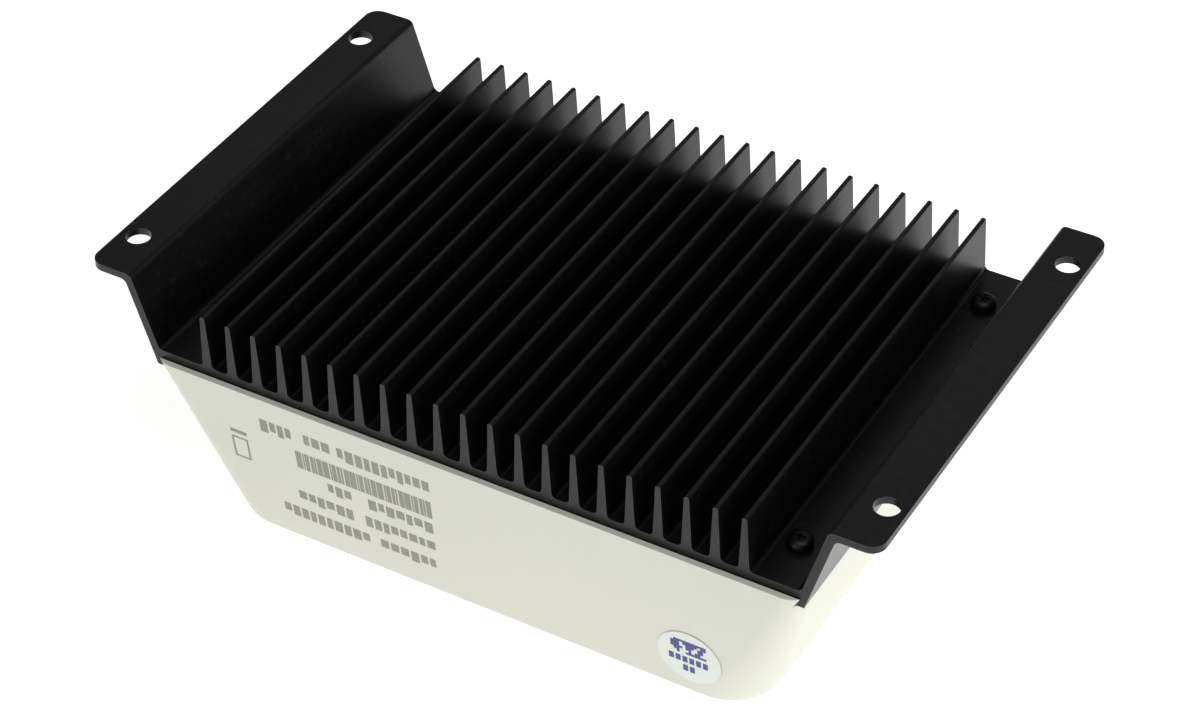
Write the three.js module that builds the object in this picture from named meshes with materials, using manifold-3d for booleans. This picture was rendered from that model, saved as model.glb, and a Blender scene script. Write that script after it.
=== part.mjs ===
// Solar charge controller, lying on its front face.
// An extruded aluminium heat sink is the back of the housing and carries the mounting flanges.
// A tapered moulded case is screwed to it and holds the display, the buttons, the boards and the terminals.
// Millimetres. +Z points from the front face to the mounting plane, X runs from flange to flange,
// +Y is the side where the wires enter and -Y is the plain side with the inspection sticker.
import * as THREE from 'three';
import { mergeVertices } from 'three/addons/utils/BufferGeometryUtils.js';
import Module from 'manifold-3d';

const wasm = await Module();
wasm.setup();

// ---------- Driving dimensions ----------

const overallHeight = 63.8; // front face to the mounting plane
const flangeSpan = 194; // outer edge to outer edge of the two flanges
const sinkLength = 115; // extruded length of the heat sink, along Y
const caseDepth = 40.7; // front face to the underside of the heat sink
const gap = 0.3; // clearance between two pieces that touch
// The end walls of the sink and of the case lean in one plane.
const leanSlope = Math.tan(THREE.MathUtils.degToRad(16.7));

const sink = {
  flangeThickness: 1.8,
  flangeReach: 9.7, // width of the flange outside the sloped wall
  wallThickness: 2.09, // measured along X
  baseThickness: 4.3,
  finPitch: 6.695,
  finTipDrop: 4.7, // fin tips below the mounting plane
  finTip: 1.15,
  finRoot: 2.5,
  finTipRadius: 0.35,
  finRootRadius: 1.3,
  sideChannel: 11.5, // least clear floor beside the outermost fin
  bendRadius: 1.2,
  cornerRadius: 3.4, // flange corners, seen from above
};
const mountingHole = { fromEdge: 4.5, fromEnd: 12.5, radius: 2.9 };

const shell = {
  wall: 2.2,
  frontWall: 3,
  longWallSlope: 0.112,
  rimOverhang: 1.7, // how far each long wall stands outside the end of the heat sink
  rimLap: 2.2, // how far each long wall laps up over the heat sink's end face
  rimGap: 0.2,
  frontCorner: 12.5, // plan corner radius at the front face
  rimCorner: 5.5, // plan corner radius at the rim
  frontEdge: 1.2, // rounding between the front face and the walls
  postRadius: 3.8,
};
const caseScrew = { fromWall: 6.6, headRadius: 2.9, headHeight: 2.1, shankRadius: 1.5, length: 12 };

const board = { thickness: 1.6, postGap: 1, fromWall: 1.9 };
const standoff = { radius: 3, pinRadius: 1.4, fromEnd: 5, wireSideY: 38, backY: -28 };

// One pole is a captive screw that draws a cage towards the front and clamps the conductor to a fixed bar.
const pole = {
  count: 6,
  pitch: 17,
  blockClearance: 1.6, // front wall of the case to the terminal block
  blockGap: 0.4, // between neighbouring blocks
  frontWall: 2,
  rearWall: 1.1,
  backWall: 1.7,
  headRadius: 3.5,
  headHeight: 3,
  headLip: 0.4, // how far the block's access hole covers the head
  slotWidth: 1.1,
  slotDepth: 1.5,
  shankRadius: 2.5,
  cageTravel: 6,
  cageWidth: 12,
  cageDepth: 10,
  cageSide: 1.4,
  cageTop: 3,
  cageBottom: 2,
  conductorRoom: 7,
  cageInset: 5.4, // mouth of the block to the cage
  barThickness: 1.8,
  barWidth: 8.6,
  barTail: 4,
  tailLength: 1,
  entryWidth: 11.8,
  entryHeight: 11,
  entryRadius: 2,
  accessRadius: 3.8,
};

const windowPane = { width: 62, length: 42, thickness: 1.5, recess: 0.4, ledge: 3.5, x: -17, y: -17 };
const lcd = { holderMargin: 1, apertureMargin: 4, holderLip: 1.2, holderWall: 2.7, glass: 2.8, backlight: 4 };
const displayBoard = { thickness: 1.6, halfWidth: 62, backY: -47, blockGap: 2 };
const displayBoss = { radius: 3, pinRadius: 1.2, fromEnd: 4, pinLength: 2.6 };
const button = {
  x: 34,
  y: [-26, -8],
  radius: 5,
  recess: 0.5,
  flangeRadius: 6.2,
  flangeThickness: 1,
  stemRadius: 1.6,
  stemEntry: 0.8, // stem inside the switch at rest
  travel: 0.6, // how far the cap can be pressed in
  edgeRadius: 0.6,
};
const tactSwitch = { size: 6.2, height: 3.7, boreSpare: 1 };
const usb = {
  x: 54,
  y: [-27, -7],
  width: 13.2,
  height: 5.7,
  length: 13.8,
  recess: 0.8,
  wall: 0.4,
  depth: 10.5,
};
const usbTongue = { width: 11, thickness: 1.8, setBack: 1.2, offset: 0.9 };
const led = {
  y: 14,
  radius: 1.5,
  recess: 0.5,
  flangeRadius: 1.9,
  flangeThickness: 1,
  leg: 0.5,
  legSpacing: 2.54,
};
const sensorSocket = {
  width: 8,
  height: 7,
  length: 12,
  depth: 8,
  wall: 0.9,
  fromBlock: 4,
  pin: 0.9,
  pinSpacing: 3.5,
  pinSetBack: 1.5,
};

const pad = { thickness: 0.5, width: 116, length: 18.5 };
const transistor = {
  count: 4,
  pitch: 30,
  width: 10.2,
  bodyLength: 9.2,
  height: 4.5,
  tab: 6.3,
  tabThickness: 1.3,
};
const lead = { count: 3, spacing: 2.54, width: 0.9, thickness: 0.6, reach: 3, fromBack: 2.4 };
const clampBar = { width: 7.5, thickness: 2, length: 124 };
const clampScrew = { headRadius: 2.8, headHeight: 2.2, shankRadius: 1.5, depthInSink: 2.4 };
const inductor = { x: -34, y: -12, outer: 10.5, inner: 5, height: 8, edge: 1.5 };
const capacitor = { x: 26, y: -16, radius: 6.3, boardClearance: 1.5, groove: 0.4, grooveAt: 2.4 };
const header = { x: 0, fromLeads: 2, width: 24, depth: 5, shroud: 7, shroudMargin: 1 };
const sticker = { x: 53.5, z: 12, radius: 7.7, thickness: 0.2, standOff: 0.05 };

// ---------- Derived levels and places ----------

const flangeUnder = overallHeight - sink.flangeThickness;
const halfFoot = flangeSpan / 2 - sink.flangeReach - leanSlope * (flangeUnder - caseDepth);
const frontHalfX = halfFoot - leanSlope * caseDepth;
const outerX = (z) => frontHalfX + leanSlope * z;
const sinkHalf = sinkLength / 2;
const baseTop = caseDepth + sink.baseThickness;
const finTipZ = overallHeight - sink.finTipDrop;
const innerFootX = outerX(baseTop) - sink.wallThickness;
const finsPerSide = Math.floor((innerFootX - sink.sideChannel - sink.finRoot / 2) / sink.finPitch);

const rimTop = caseDepth + shell.rimLap;
const outerY = (z) => sinkHalf + shell.rimOverhang - shell.longWallSlope * (rimTop - z);
const innerY = (z) => outerY(z) - shell.wall;
const caseRim = caseDepth - shell.rimGap;
const caseCorner = (z) => shell.frontCorner + ((shell.rimCorner - shell.frontCorner) * z) / caseDepth;

const screwX = innerFootX - caseScrew.fromWall;
const screwY = sinkHalf - mountingHole.fromEnd;

const blockFront = shell.frontWall + pole.blockClearance;
const headFront = blockFront + pole.frontWall + gap;
const headRear = headFront + pole.headHeight;
const cageHeight = pole.cageTop + gap + pole.barThickness + pole.conductorRoom + pole.cageBottom;
const cageFront = headRear + gap + pole.cageTravel;
const cageRear = cageFront + cageHeight;
const barFront = cageFront + pole.cageTop + gap;
const barRear = barFront + pole.barThickness;
const blockRear = cageRear + gap + pole.rearWall;
const blockMouth = innerY(blockFront) - gap;
const cageMouth = blockMouth - pole.cageInset;
const cageBack = cageMouth - pole.cageDepth;
const poleY = (cageMouth + cageBack) / 2;
const bayBack = cageBack - gap;
const barBack = bayBack - pole.backWall - pole.barThickness;
const blockBack = barBack - gap - pole.backWall;
const poleX = (i) => (i - (pole.count - 1) / 2) * pole.pitch;
const blockX = [0, 2, 4].map((i) => (poleX(i) + poleX(i + 1)) / 2);
const entryZ = (barRear + cageRear - pole.cageBottom) / 2;

const boardUnder = blockRear + gap;
const boardTop = boardUnder + board.thickness;
const boardHalfX = screwX - shell.postRadius - board.postGap;
const boardWireY = innerY(boardUnder) - board.fromWall - shell.wall;

const padTop = caseDepth - gap;
const transistorTop = padTop - pad.thickness - gap;
const transistorUnder = transistorTop - transistor.height;
const clampTop = transistorUnder - gap;
const clampUnder = clampTop - clampBar.thickness;
const transistorBack = -(innerY(clampUnder) - board.fromWall);
const bodyBack = transistorBack + transistor.tab;
const bodyFront = bodyBack + transistor.bodyLength;
const clampY = (bodyBack + bodyFront) / 2;
const leadY = bodyFront + lead.reach;
const boardBackY = bodyFront + 1;
const transistorX = (i) => (i - (transistor.count - 1) / 2) * transistor.pitch;
const clampScrewX = transistor.pitch;

const displayFront = usb.recess + usb.length + gap;
const displayRear = displayFront + displayBoard.thickness;
const displayWireY = blockBack - displayBoard.blockGap;
const bossX = displayBoard.halfWidth - displayBoss.fromEnd;
const bossY = [displayBoard.backY + displayBoss.fromEnd, displayWireY - displayBoss.fromEnd];
const behindFront = shell.frontWall + gap;

const innerX = (z) => outerX(z) - shell.wall;
const sensorFront = blockRear - sensorSocket.height;
const sensorMouth = -(innerX(sensorFront) - gap);
const sensorY = blockBack - sensorSocket.fromBlock - sensorSocket.width / 2;

// ---------- Shapes ----------

const sides = 16; // facets of a small round piece
const holeSides = 20; // facets of a hole in the outer housing
const arcSteps = 2; // chords of a small round corner
const caseCornerSteps = 6; // chords of a corner of the case

// A block from its lowest corner to its highest corner.
function block([x0, y0, z0], [x1, y1, z1]) {
  const [x, y, z] = [(x0 + x1) / 2, (y0 + y1) / 2, (z0 + z1) / 2];
  return new THREE.BoxGeometry(x1 - x0, y1 - y0, z1 - z0).translate(x, y, z);
}

// A block centred on x, between two y and two z values.
function centred(x, width, [y0, y1], [z0, z1]) {
  return block([x - width / 2, y0, z0], [x + width / 2, y1, z1]);
}

// A cylinder along Z.
function rod(x, y, radius, [z0, z1], facets = sides) {
  return new THREE.CylinderGeometry(radius, radius, z1 - z0, facets)
    .rotateX(Math.PI / 2)
    .translate(x, y, (z0 + z1) / 2);
}

// A turned piece about the Z axis. The profile is [radius, z] and runs from the axis at one end to the other.
function turned(profile, facets = sides) {
  const points = profile.map(([r, z]) => new THREE.Vector2(r, z));
  return new THREE.LatheGeometry(points, facets).rotateX(Math.PI / 2);
}

// The points of an outline through [x, y, radius] corners, each rounded by its own radius.
function roundedOutline(corners, steps = arcSteps) {
  return corners.flatMap(([x, y, radius], i) => {
    const corner = new THREE.Vector2(x, y);
    if (!radius) return [corner];
    const [px, py] = corners.at(i - 1);
    const [nx, ny] = corners[(i + 1) % corners.length];
    const back = new THREE.Vector2(px - x, py - y).normalize();
    const on = new THREE.Vector2(nx - x, ny - y).normalize();
    const halfAngle = Math.acos(back.dot(on)) / 2;
    const centre = back.clone().add(on).setLength(radius / Math.sin(halfAngle)).add(corner);
    const start = back.clone().multiplyScalar(radius / Math.tan(halfAngle)).add(corner);
    const turn = (Math.PI - 2 * halfAngle) * Math.sign(on.cross(back));
    const at = (k) => start.clone().rotateAround(centre, (turn * k) / steps);
    return Array.from({ length: steps + 1 }, (_, k) => at(k));
  });
}

// A rectangle about the origin with four equal round corners.
function roundedRectangle(halfX, halfY, radius, steps = arcSteps) {
  const corners = [
    [halfX, -halfY, radius],
    [halfX, halfY, radius],
    [-halfX, halfY, radius],
    [-halfX, -halfY, radius],
  ];
  return roundedOutline(corners, steps);
}

// An extrusion of an outline from z0 to z1.
function extruded(outline, [z0, z1]) {
  const shape = new THREE.Shape(outline);
  return new THREE.ExtrudeGeometry(shape, { depth: z1 - z0, bevelEnabled: false }).translate(0, 0, z0);
}

// A closed skin through rings of equally many points, lowest ring first. Each ring is { outline, z }.
function loft(rings) {
  const count = rings[0].outline.length;
  const position = rings.flatMap(({ outline, z }) => outline.flatMap((p) => [p.x, p.y, z]));
  const index = [];
  for (let ring = 0; ring + 1 < rings.length; ring += 1) {
    for (let i = 0; i < count; i += 1) {
      const a = ring * count + i;
      const b = ring * count + ((i + 1) % count);
      index.push(a, b, b + count, a, b + count, a + count);
    }
  }
  const top = (rings.length - 1) * count;
  const cap = THREE.ShapeUtils.triangulateShape(rings[0].outline, []);
  cap.forEach(([a, b, c]) => index.push(c, b, a, top + a, top + b, top + c));
  const geometry = new THREE.BufferGeometry();
  geometry.setAttribute('position', new THREE.Float32BufferAttribute(position, 3));
  return geometry.setIndex(index);
}

// ---------- Joining and cutting ----------

function toSolid(geometry) {
  const bare = new THREE.BufferGeometry().setAttribute('position', geometry.getAttribute('position').clone());
  if (geometry.index) bare.setIndex(geometry.index.clone());
  const merged = mergeVertices(bare, 1e-4);
  const vertProperties = merged.getAttribute('position').array;
  const triVerts = new Uint32Array(merged.index.array);
  return new wasm.Manifold(new wasm.Mesh({ numProp: 3, vertProperties, triVerts }));
}

function toGeometry(solid) {
  const { vertProperties, triVerts } = solid.getMesh();
  const geometry = new THREE.BufferGeometry();
  geometry.setAttribute('position', new THREE.BufferAttribute(vertProperties, 3));
  geometry.setIndex(new THREE.BufferAttribute(triVerts, 1));
  const faceted = geometry.toNonIndexed();
  faceted.computeVertexNormals();
  return faceted;
}

const join = (...parts) => toGeometry(parts.map(toSolid).reduce((a, b) => a.add(b)));
const cut = (from, ...tools) => toGeometry(tools.map(toSolid).reduce((a, b) => a.subtract(b), toSolid(from)));
const common = (a, b) => toGeometry(toSolid(a).intersect(toSolid(b)));

// ---------- Materials ----------

const finish = (color, roughness, metalness = 0) =>
  new THREE.MeshStandardMaterial({ color, roughness, metalness });
const finishes = {
  blackAluminium: () => finish(0x141414, 0.45, 0.3),
  creamPlastic: () => finish(0xd6d7c8, 0.5),
  blackScrew: () => finish(0x0d0d0d, 0.4, 0.6),
  clearPane: () => finish(0x9fb0a4, 0.1),
  displayGlass: () => finish(0x8fa08c, 0.2),
  whitePlastic: () => finish(0xe9e9e4, 0.5),
  greyPlastic: () => finish(0x6b6f72, 0.55),
  blackPlastic: () => finish(0x17181a, 0.5),
  greenPlastic: () => finish(0x2f8f4a, 0.5),
  boardGreen: () => finish(0x1d5a36, 0.45),
  platedSteel: () => finish(0xb9bcc0, 0.3, 0.9),
  brightNickel: () => finish(0xc9c6bd, 0.25, 0.95),
  tinnedBrass: () => finish(0xc8b26a, 0.3, 0.9),
  ledLens: (color) => finish(color, 0.2),
  greySilicone: () => finish(0x8d9296, 0.8),
  ferrite: () => finish(0x3f7a58, 0.6),
  stickerPaper: () => finish(0xe6ebe2, 0.45),
};

const controller = new THREE.Group();

// Adds one named piece to a group, at a place in that group.
function piece(name, geometry, material, parent = controller, place = [0, 0, 0]) {
  const mesh = new THREE.Mesh(geometry, material);
  mesh.name = name;
  mesh.position.set(...place);
  parent.add(mesh);
}

// ---------- Heat sink ----------

// One fin of the section, as [x, z, radius] corners.
function finCorners(x) {
  return [
    [x - sink.finRoot / 2, baseTop, sink.finRootRadius],
    [x - sink.finTip / 2, finTipZ, sink.finTipRadius],
    [x + sink.finTip / 2, finTipZ, sink.finTipRadius],
    [x + sink.finRoot / 2, baseTop, sink.finRootRadius],
  ];
}

// The sloped wall and the flange at one side of the section, from left to right.
function flangeCorners(side) {
  const corners = [
    [innerFootX, baseTop, sink.bendRadius],
    [outerX(overallHeight) - sink.wallThickness, overallHeight, sink.bendRadius],
    [flangeSpan / 2, overallHeight, 0],
    [flangeSpan / 2, flangeUnder, 0],
    [outerX(flangeUnder), flangeUnder, sink.bendRadius],
    [halfFoot, caseDepth, 0],
  ];
  if (side > 0) return corners;
  return corners.reverse().map(([x, z, radius]) => [-x, z, radius]);
}

function sinkSection() {
  const corners = [...flangeCorners(-1)];
  for (let i = -finsPerSide; i <= finsPerSide; i += 1) corners.push(...finCorners(i * sink.finPitch));
  corners.push(...flangeCorners(1));
  return roundedOutline(corners);
}

// What is left outside a round corner of a flange.
function flangeCornerCut(sideX, sideY) {
  const r = sink.cornerRadius;
  const x = flangeSpan / 2;
  const outside = block([x - r, sinkHalf - r, caseDepth], [x + 1, sinkHalf + 1, overallHeight + 1]);
  const kept = rod(x - r, sinkHalf - r, r, [caseDepth - 1, overallHeight + 2], holeSides);
  return cut(outside, kept).scale(sideX, sideY, 1);
}

const cornerSigns = [
  [-1, -1],
  [1, -1],
  [1, 1],
  [-1, 1],
];

// Mirrored geometry has its triangles turned round, so that its faces still point out.
function mirrored(geometry, sideX, sideY) {
  if (sideX * sideY > 0) return geometry;
  const position = geometry.getAttribute('position');
  for (let i = 0; i < position.count; i += 3) {
    const a = new THREE.Vector3().fromBufferAttribute(position, i);
    const b = new THREE.Vector3().fromBufferAttribute(position, i + 1);
    position.setXYZ(i, b.x, b.y, b.z);
    position.setXYZ(i + 1, a.x, a.y, a.z);
  }
  return geometry;
}

function heatSink() {
  const bar = extruded(sinkSection(), [0, sinkLength]).rotateX(Math.PI / 2).translate(0, sinkHalf, 0);
  const cuts = cornerSigns.flatMap(([sideX, sideY]) => [
    mirrored(flangeCornerCut(sideX, sideY), sideX, sideY),
    rod(
      sideX * (flangeSpan / 2 - mountingHole.fromEdge),
      sideY * (sinkHalf - mountingHole.fromEnd),
      mountingHole.radius,
      [flangeUnder - 1, overallHeight + 1],
      holeSides,
    ),
    rod(sideX * screwX, sideY * screwY, caseScrew.shankRadius + gap, [caseDepth - 1, baseTop + 1]),
  ]);
  const tapped = [-clampScrewX, clampScrewX].map((x) =>
    rod(x, clampY, clampScrew.shankRadius + gap, [caseDepth - 1, caseDepth + clampScrew.depthInSink + gap]),
  );
  return cut(bar, ...cuts, ...tapped);
}

piece('heat_sink', heatSink(), finishes.blackAluminium());

// ---------- Front case ----------

function caseRing(z, inset, wall = 0) {
  const radius = Math.max(caseCorner(z) - inset - wall, 1);
  const [halfX, halfY] = [outerX(z) - inset - wall, outerY(z) - inset - wall];
  return { outline: roundedRectangle(halfX, halfY, radius, caseCornerSteps), z };
}

function caseOuter(top) {
  const e = shell.frontEdge;
  const rings = [
    [0, e],
    [e * 0.13, e * 0.5],
    [e * 0.5, e * 0.13],
    [e, 0],
  ];
  return loft([...rings.map(([z, inset]) => caseRing(z, inset)), caseRing(top, 0)]);
}

function caseInner() {
  return loft([caseRing(shell.frontWall, 0, shell.wall), caseRing(rimTop + 1, 0, shell.wall)]);
}

function screwPost([sideX, sideY]) {
  const post = rod(sideX * screwX, sideY * screwY, shell.postRadius, [shell.frontWall - 1, caseRim]);
  return common(post, caseOuter(caseRim));
}

function displayBossAt(x, y) {
  const foot = shell.frontWall - 0.5;
  const shoulder = displayFront - gap;
  const pinEnd = shoulder + displayBoss.pinLength;
  return turned([
    [0, foot],
    [displayBoss.radius, foot],
    [displayBoss.radius, shoulder],
    [displayBoss.pinRadius, shoulder],
    [displayBoss.pinRadius, pinEnd],
    [0, pinEnd],
  ]).translate(x, y, 0);
}

const lastPoleX = poleX(pole.count - 1);

// One wide opening in the long wall, in front of the mouths of all the poles.
function wireOpening() {
  const halfWidth = lastPoleX + pole.entryWidth / 2;
  const outline = roundedRectangle(halfWidth, pole.entryHeight / 2, pole.entryRadius);
  const depth = [-(outerY(rimTop) + 1), -(blockMouth + gap / 2)];
  return extruded(outline, depth).rotateX(Math.PI / 2).translate(0, 0, entryZ);
}

function frontCuts() {
  const through = [-1, shell.frontWall + 1];
  const pane = windowPane;
  const paneDepth = pane.recess + pane.thickness + 0.2;
  const rebate = extruded(roundedRectangle(pane.width / 2 + gap, pane.length / 2 + gap, 2), [-1, paneDepth]);
  const sight = extruded(
    roundedRectangle(pane.width / 2 - pane.ledge, pane.length / 2 - pane.ledge, 1),
    through,
  );
  const usbSlot = [usb.height / 2 + gap, usb.width / 2 + gap];
  const slotEnd = pole.accessRadius;
  const screwSlot = roundedRectangle(lastPoleX + slotEnd, slotEnd, slotEnd - 0.1, caseCornerSteps);
  return [
    rebate.translate(pane.x, pane.y, 0),
    sight.translate(pane.x, pane.y, 0),
    ...button.y.map((y) => rod(button.x, y, button.radius + gap, through, holeSides)),
    ...blockX.map((x) => rod(x, led.y, led.radius + gap, through)),
    ...usb.y.map((y) => extruded(roundedRectangle(...usbSlot, 0.5), through).translate(usb.x, y, 0)),
    extruded(screwSlot, through).translate(0, poleY, 0),
  ];
}

function frontCase() {
  const roomY = sinkHalf + shell.rimGap;
  const sinkRoom = block([-flangeSpan, -roomY, caseRim], [flangeSpan, roomY, rimTop + 1]);
  const hollow = cut(caseOuter(rimTop), caseInner(), sinkRoom);
  const bosses = bossY.flatMap((y) => [displayBossAt(-bossX, y), displayBossAt(bossX, y)]);
  const solid = join(hollow, ...cornerSigns.map(screwPost), ...bosses);
  const pilots = cornerSigns.map(([sideX, sideY]) =>
    rod(sideX * screwX, sideY * screwY, caseScrew.shankRadius + gap, [
      baseTop - caseScrew.length - gap,
      caseRim + 1,
    ]),
  );
  const s = sensorSocket;
  const sensorHole = block(
    [-outerX(rimTop), sensorY - s.width / 2 + s.wall, sensorFront + s.wall],
    [sensorMouth - gap / 2, sensorY + s.width / 2 - s.wall, blockRear - s.wall],
  );
  return cut(solid, ...pilots, ...frontCuts(), wireOpening(), sensorHole);
}

piece('front_case', frontCase(), finishes.creamPlastic());

// ---------- Case screws ----------

// Pan head with a cross recess, seated on z = 0, shank pointing down.
function panScrew({ headRadius, headHeight, shankRadius }, length) {
  const turnedScrew = turned([
    [0, -length],
    [shankRadius * 0.5, -length],
    [shankRadius, -length + shankRadius],
    [shankRadius, 0],
    [headRadius, 0],
    [headRadius, headHeight * 0.35],
    [headRadius * 0.88, headHeight * 0.72],
    [headRadius * 0.6, headHeight * 0.94],
    [headRadius * 0.3, headHeight],
    [0, headHeight],
  ]);
  const long = headRadius * 1.1;
  const wide = headRadius * 0.26;
  const depth = [headHeight * 0.35, headHeight + 1];
  const recess = [
    centred(0, long, [-wide / 2, wide / 2], depth),
    centred(0, wide, [-long / 2, long / 2], depth),
  ];
  return cut(turnedScrew, ...recess);
}

const caseScrewShape = panScrew(caseScrew, caseScrew.length + gap);
cornerSigns.forEach(([sideX, sideY], i) => {
  const place = [sideX * screwX, sideY * screwY, baseTop + gap];
  piece(`case_screw_${i + 1}`, caseScrewShape, finishes.blackScrew(), controller, place);
});

// ---------- Display and buttons ----------

const display = new THREE.Group();
display.position.set(windowPane.x, windowPane.y, 0);
controller.add(display);

const paneOutline = roundedRectangle(windowPane.width / 2, windowPane.length / 2, 1.7);
const paneSpan = [windowPane.recess, windowPane.recess + windowPane.thickness];
piece('display_window', extruded(paneOutline, paneSpan), finishes.clearPane(), display);

const holderHalf = [windowPane.width / 2 + lcd.holderMargin, windowPane.length / 2 + lcd.holderMargin];
const apertureHalf = [windowPane.width / 2 - lcd.apertureMargin, windowPane.length / 2 - lcd.apertureMargin];
const cellHalf = holderHalf.map((half) => half - lcd.holderWall);
const cellFront = behindFront + lcd.holderLip;

function lcdHolder() {
  const frame = extruded(roundedRectangle(...holderHalf, 1.5), [behindFront, displayFront - gap]);
  const aperture = extruded(roundedRectangle(...apertureHalf, 1), [0, displayFront]);
  const recess = block([-cellHalf[0], -cellHalf[1], cellFront], [cellHalf[0], cellHalf[1], displayFront]);
  return cut(frame, aperture, recess);
}

// A plate that fits the holder's recess.
function cellPlate(z, thickness) {
  const [x, y] = cellHalf.map((half) => half - gap);
  return block([-x, -y, z], [x, y, z + thickness]);
}

const backlightFront = cellFront + gap + lcd.glass + gap;
const backlightRear = backlightFront + lcd.backlight;
const backlightLegs = [-1, 1].map((side) =>
  centred(side * (cellHalf[0] - 4), 1.5, [-0.5, 0.5], [backlightRear - 0.5, displayFront - gap]),
);
piece('lcd_holder', lcdHolder(), finishes.whitePlastic(), display);
piece('lcd_panel', cellPlate(cellFront + gap, lcd.glass), finishes.displayGlass(), display);
const backlightShape = join(cellPlate(backlightFront, lcd.backlight), ...backlightLegs);
piece('lcd_backlight', backlightShape, finishes.whitePlastic(), display);

function displayBoardPlate() {
  const span = [displayFront, displayRear];
  const plate = block(
    [-displayBoard.halfWidth, displayBoard.backY, span[0]],
    [displayBoard.halfWidth, displayWireY, span[1]],
  );
  const holes = bossY.flatMap((y) =>
    [-bossX, bossX].map((x) => rod(x, y, displayBoss.pinRadius + gap, [span[0] - 1, span[1] + 1])),
  );
  return cut(plate, ...holes);
}

piece('display_board', displayBoardPlate(), finishes.boardGreen());

const switchFront = displayFront - gap - tactSwitch.height;

function buttonShape() {
  const b = button;
  const flangeRear = behindFront + b.flangeThickness;
  return turned(
    [
      [0, b.recess],
      [b.radius - b.edgeRadius, b.recess],
      [b.radius - b.edgeRadius * 0.3, b.recess + b.edgeRadius * 0.3],
      [b.radius, b.recess + b.edgeRadius],
      [b.radius, behindFront],
      [b.flangeRadius, behindFront],
      [b.flangeRadius, flangeRear],
      [b.stemRadius, flangeRear],
      [b.stemRadius, switchFront + b.stemEntry],
      [0, switchFront + b.stemEntry],
    ],
    holeSides,
  );
}

function switchShape() {
  const half = tactSwitch.size / 2;
  const body = block([-half, -half, switchFront], [half, half, switchFront + tactSwitch.height]);
  const boreDepth = button.stemEntry + button.travel + tactSwitch.boreSpare;
  const bore = rod(0, 0, button.stemRadius + gap, [switchFront - 1, switchFront + boreDepth]);
  return cut(body, bore);
}

['menu', 'ok'].forEach((name, i) => {
  const place = [button.x, button.y[i], 0];
  piece(`${name}_button`, buttonShape(), finishes.greyPlastic(), controller, place);
  piece(`${name}_switch`, switchShape(), finishes.blackPlastic(), controller, place);
});

// ---------- Indicator lamps ----------

function lampShape() {
  const flangeRear = behindFront + led.flangeThickness;
  const dome = turned([
    [0, led.recess],
    [led.radius * 0.6, led.recess + led.radius * 0.2],
    [led.radius, led.recess + led.radius],
    [led.radius, behindFront],
    [led.flangeRadius, behindFront],
    [led.flangeRadius, flangeRear],
    [0, flangeRear],
  ]);
  const legZ = [flangeRear - 0.3, displayFront - gap];
  const legs = [-1, 1].map((side) =>
    centred((side * led.legSpacing) / 2, led.leg, [-led.leg / 2, led.leg / 2], legZ),
  );
  return join(dome, ...legs);
}

const lampColours = { charge: 0x39c25a, battery: 0xe0a030, load: 0xd0483a };
Object.entries(lampColours).forEach(([name, colour], i) => {
  piece(`${name}_lamp`, lampShape(), finishes.ledLens(colour), controller, [blockX[i], led.y, 0]);
});

// ---------- USB sockets ----------

function usbShape() {
  const u = usb;
  const rear = u.recess + u.length;
  const can = block([-u.height / 2, -u.width / 2, u.recess], [u.height / 2, u.width / 2, rear]);
  const [x, y] = [u.height / 2 - u.wall, u.width / 2 - u.wall];
  const room = block([-x, -y, u.recess - 1], [x, y, u.recess + u.depth]);
  const t = usbTongue;
  const tongue = block(
    [t.offset - t.thickness / 2, -t.width / 2, u.recess + t.setBack],
    [t.offset + t.thickness / 2, t.width / 2, u.recess + u.depth + 0.5],
  );
  return join(cut(can, room), tongue);
}

usb.y.forEach((y, i) => {
  piece(`usb_socket_${i + 1}`, usbShape(), finishes.brightNickel(), controller, [usb.x, y, 0]);
});

// ---------- Terminals ----------

const bayHalf = pole.cageWidth / 2 + gap;
const barHalf = pole.barWidth / 2;
const slotHalf = barHalf + gap;

// What one pole takes out of its terminal block: the cage's bay, the bar's slot and the screw's well.
function poleCuts(x) {
  const barSlot = [barFront - gap, barRear + gap];
  return [
    centred(x, 2 * bayHalf, [bayBack, blockMouth + 1], [headRear, blockRear - pole.rearWall]),
    centred(x, 2 * slotHalf, [barBack - gap, bayBack + 1], barSlot),
    centred(x, 2 * slotHalf, [barBack - gap, barBack + pole.barThickness + gap], [barSlot[0], blockRear + 1]),
    rod(x, poleY, pole.headRadius + gap, [headFront - gap, headRear + 1]),
    rod(x, poleY, pole.headRadius - pole.headLip, [blockFront - 1, headFront]),
  ];
}

function terminalBlock(x) {
  const width = 2 * pole.pitch - pole.blockGap;
  const body = centred(x, width, [blockBack, blockMouth], [blockFront, blockRear]);
  return cut(body, ...poleCuts(x - pole.pitch / 2), ...poleCuts(x + pole.pitch / 2));
}

const blockNames = ['solar', 'battery', 'load'];
blockNames.forEach((name, i) => {
  piece(`${name}_terminal_block`, terminalBlock(blockX[i]), finishes.blackPlastic());
});

// The captive screw, its axis at x = y = 0. Its tip stands just in front of the contact bar.
function terminalScrew() {
  const tip = barFront - gap;
  const screw = turned([
    [0, headFront],
    [pole.headRadius - 0.5, headFront],
    [pole.headRadius, headFront + 0.5],
    [pole.headRadius, headRear],
    [pole.shankRadius, headRear],
    [pole.shankRadius, tip - 0.6],
    [pole.shankRadius - 0.6, tip],
    [0, tip],
  ]);
  const slot = centred(0, 2 * pole.headRadius + 2, [-pole.slotWidth / 2, pole.slotWidth / 2], [
    headFront - 1,
    headFront + pole.slotDepth,
  ]);
  return cut(screw, slot);
}

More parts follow.
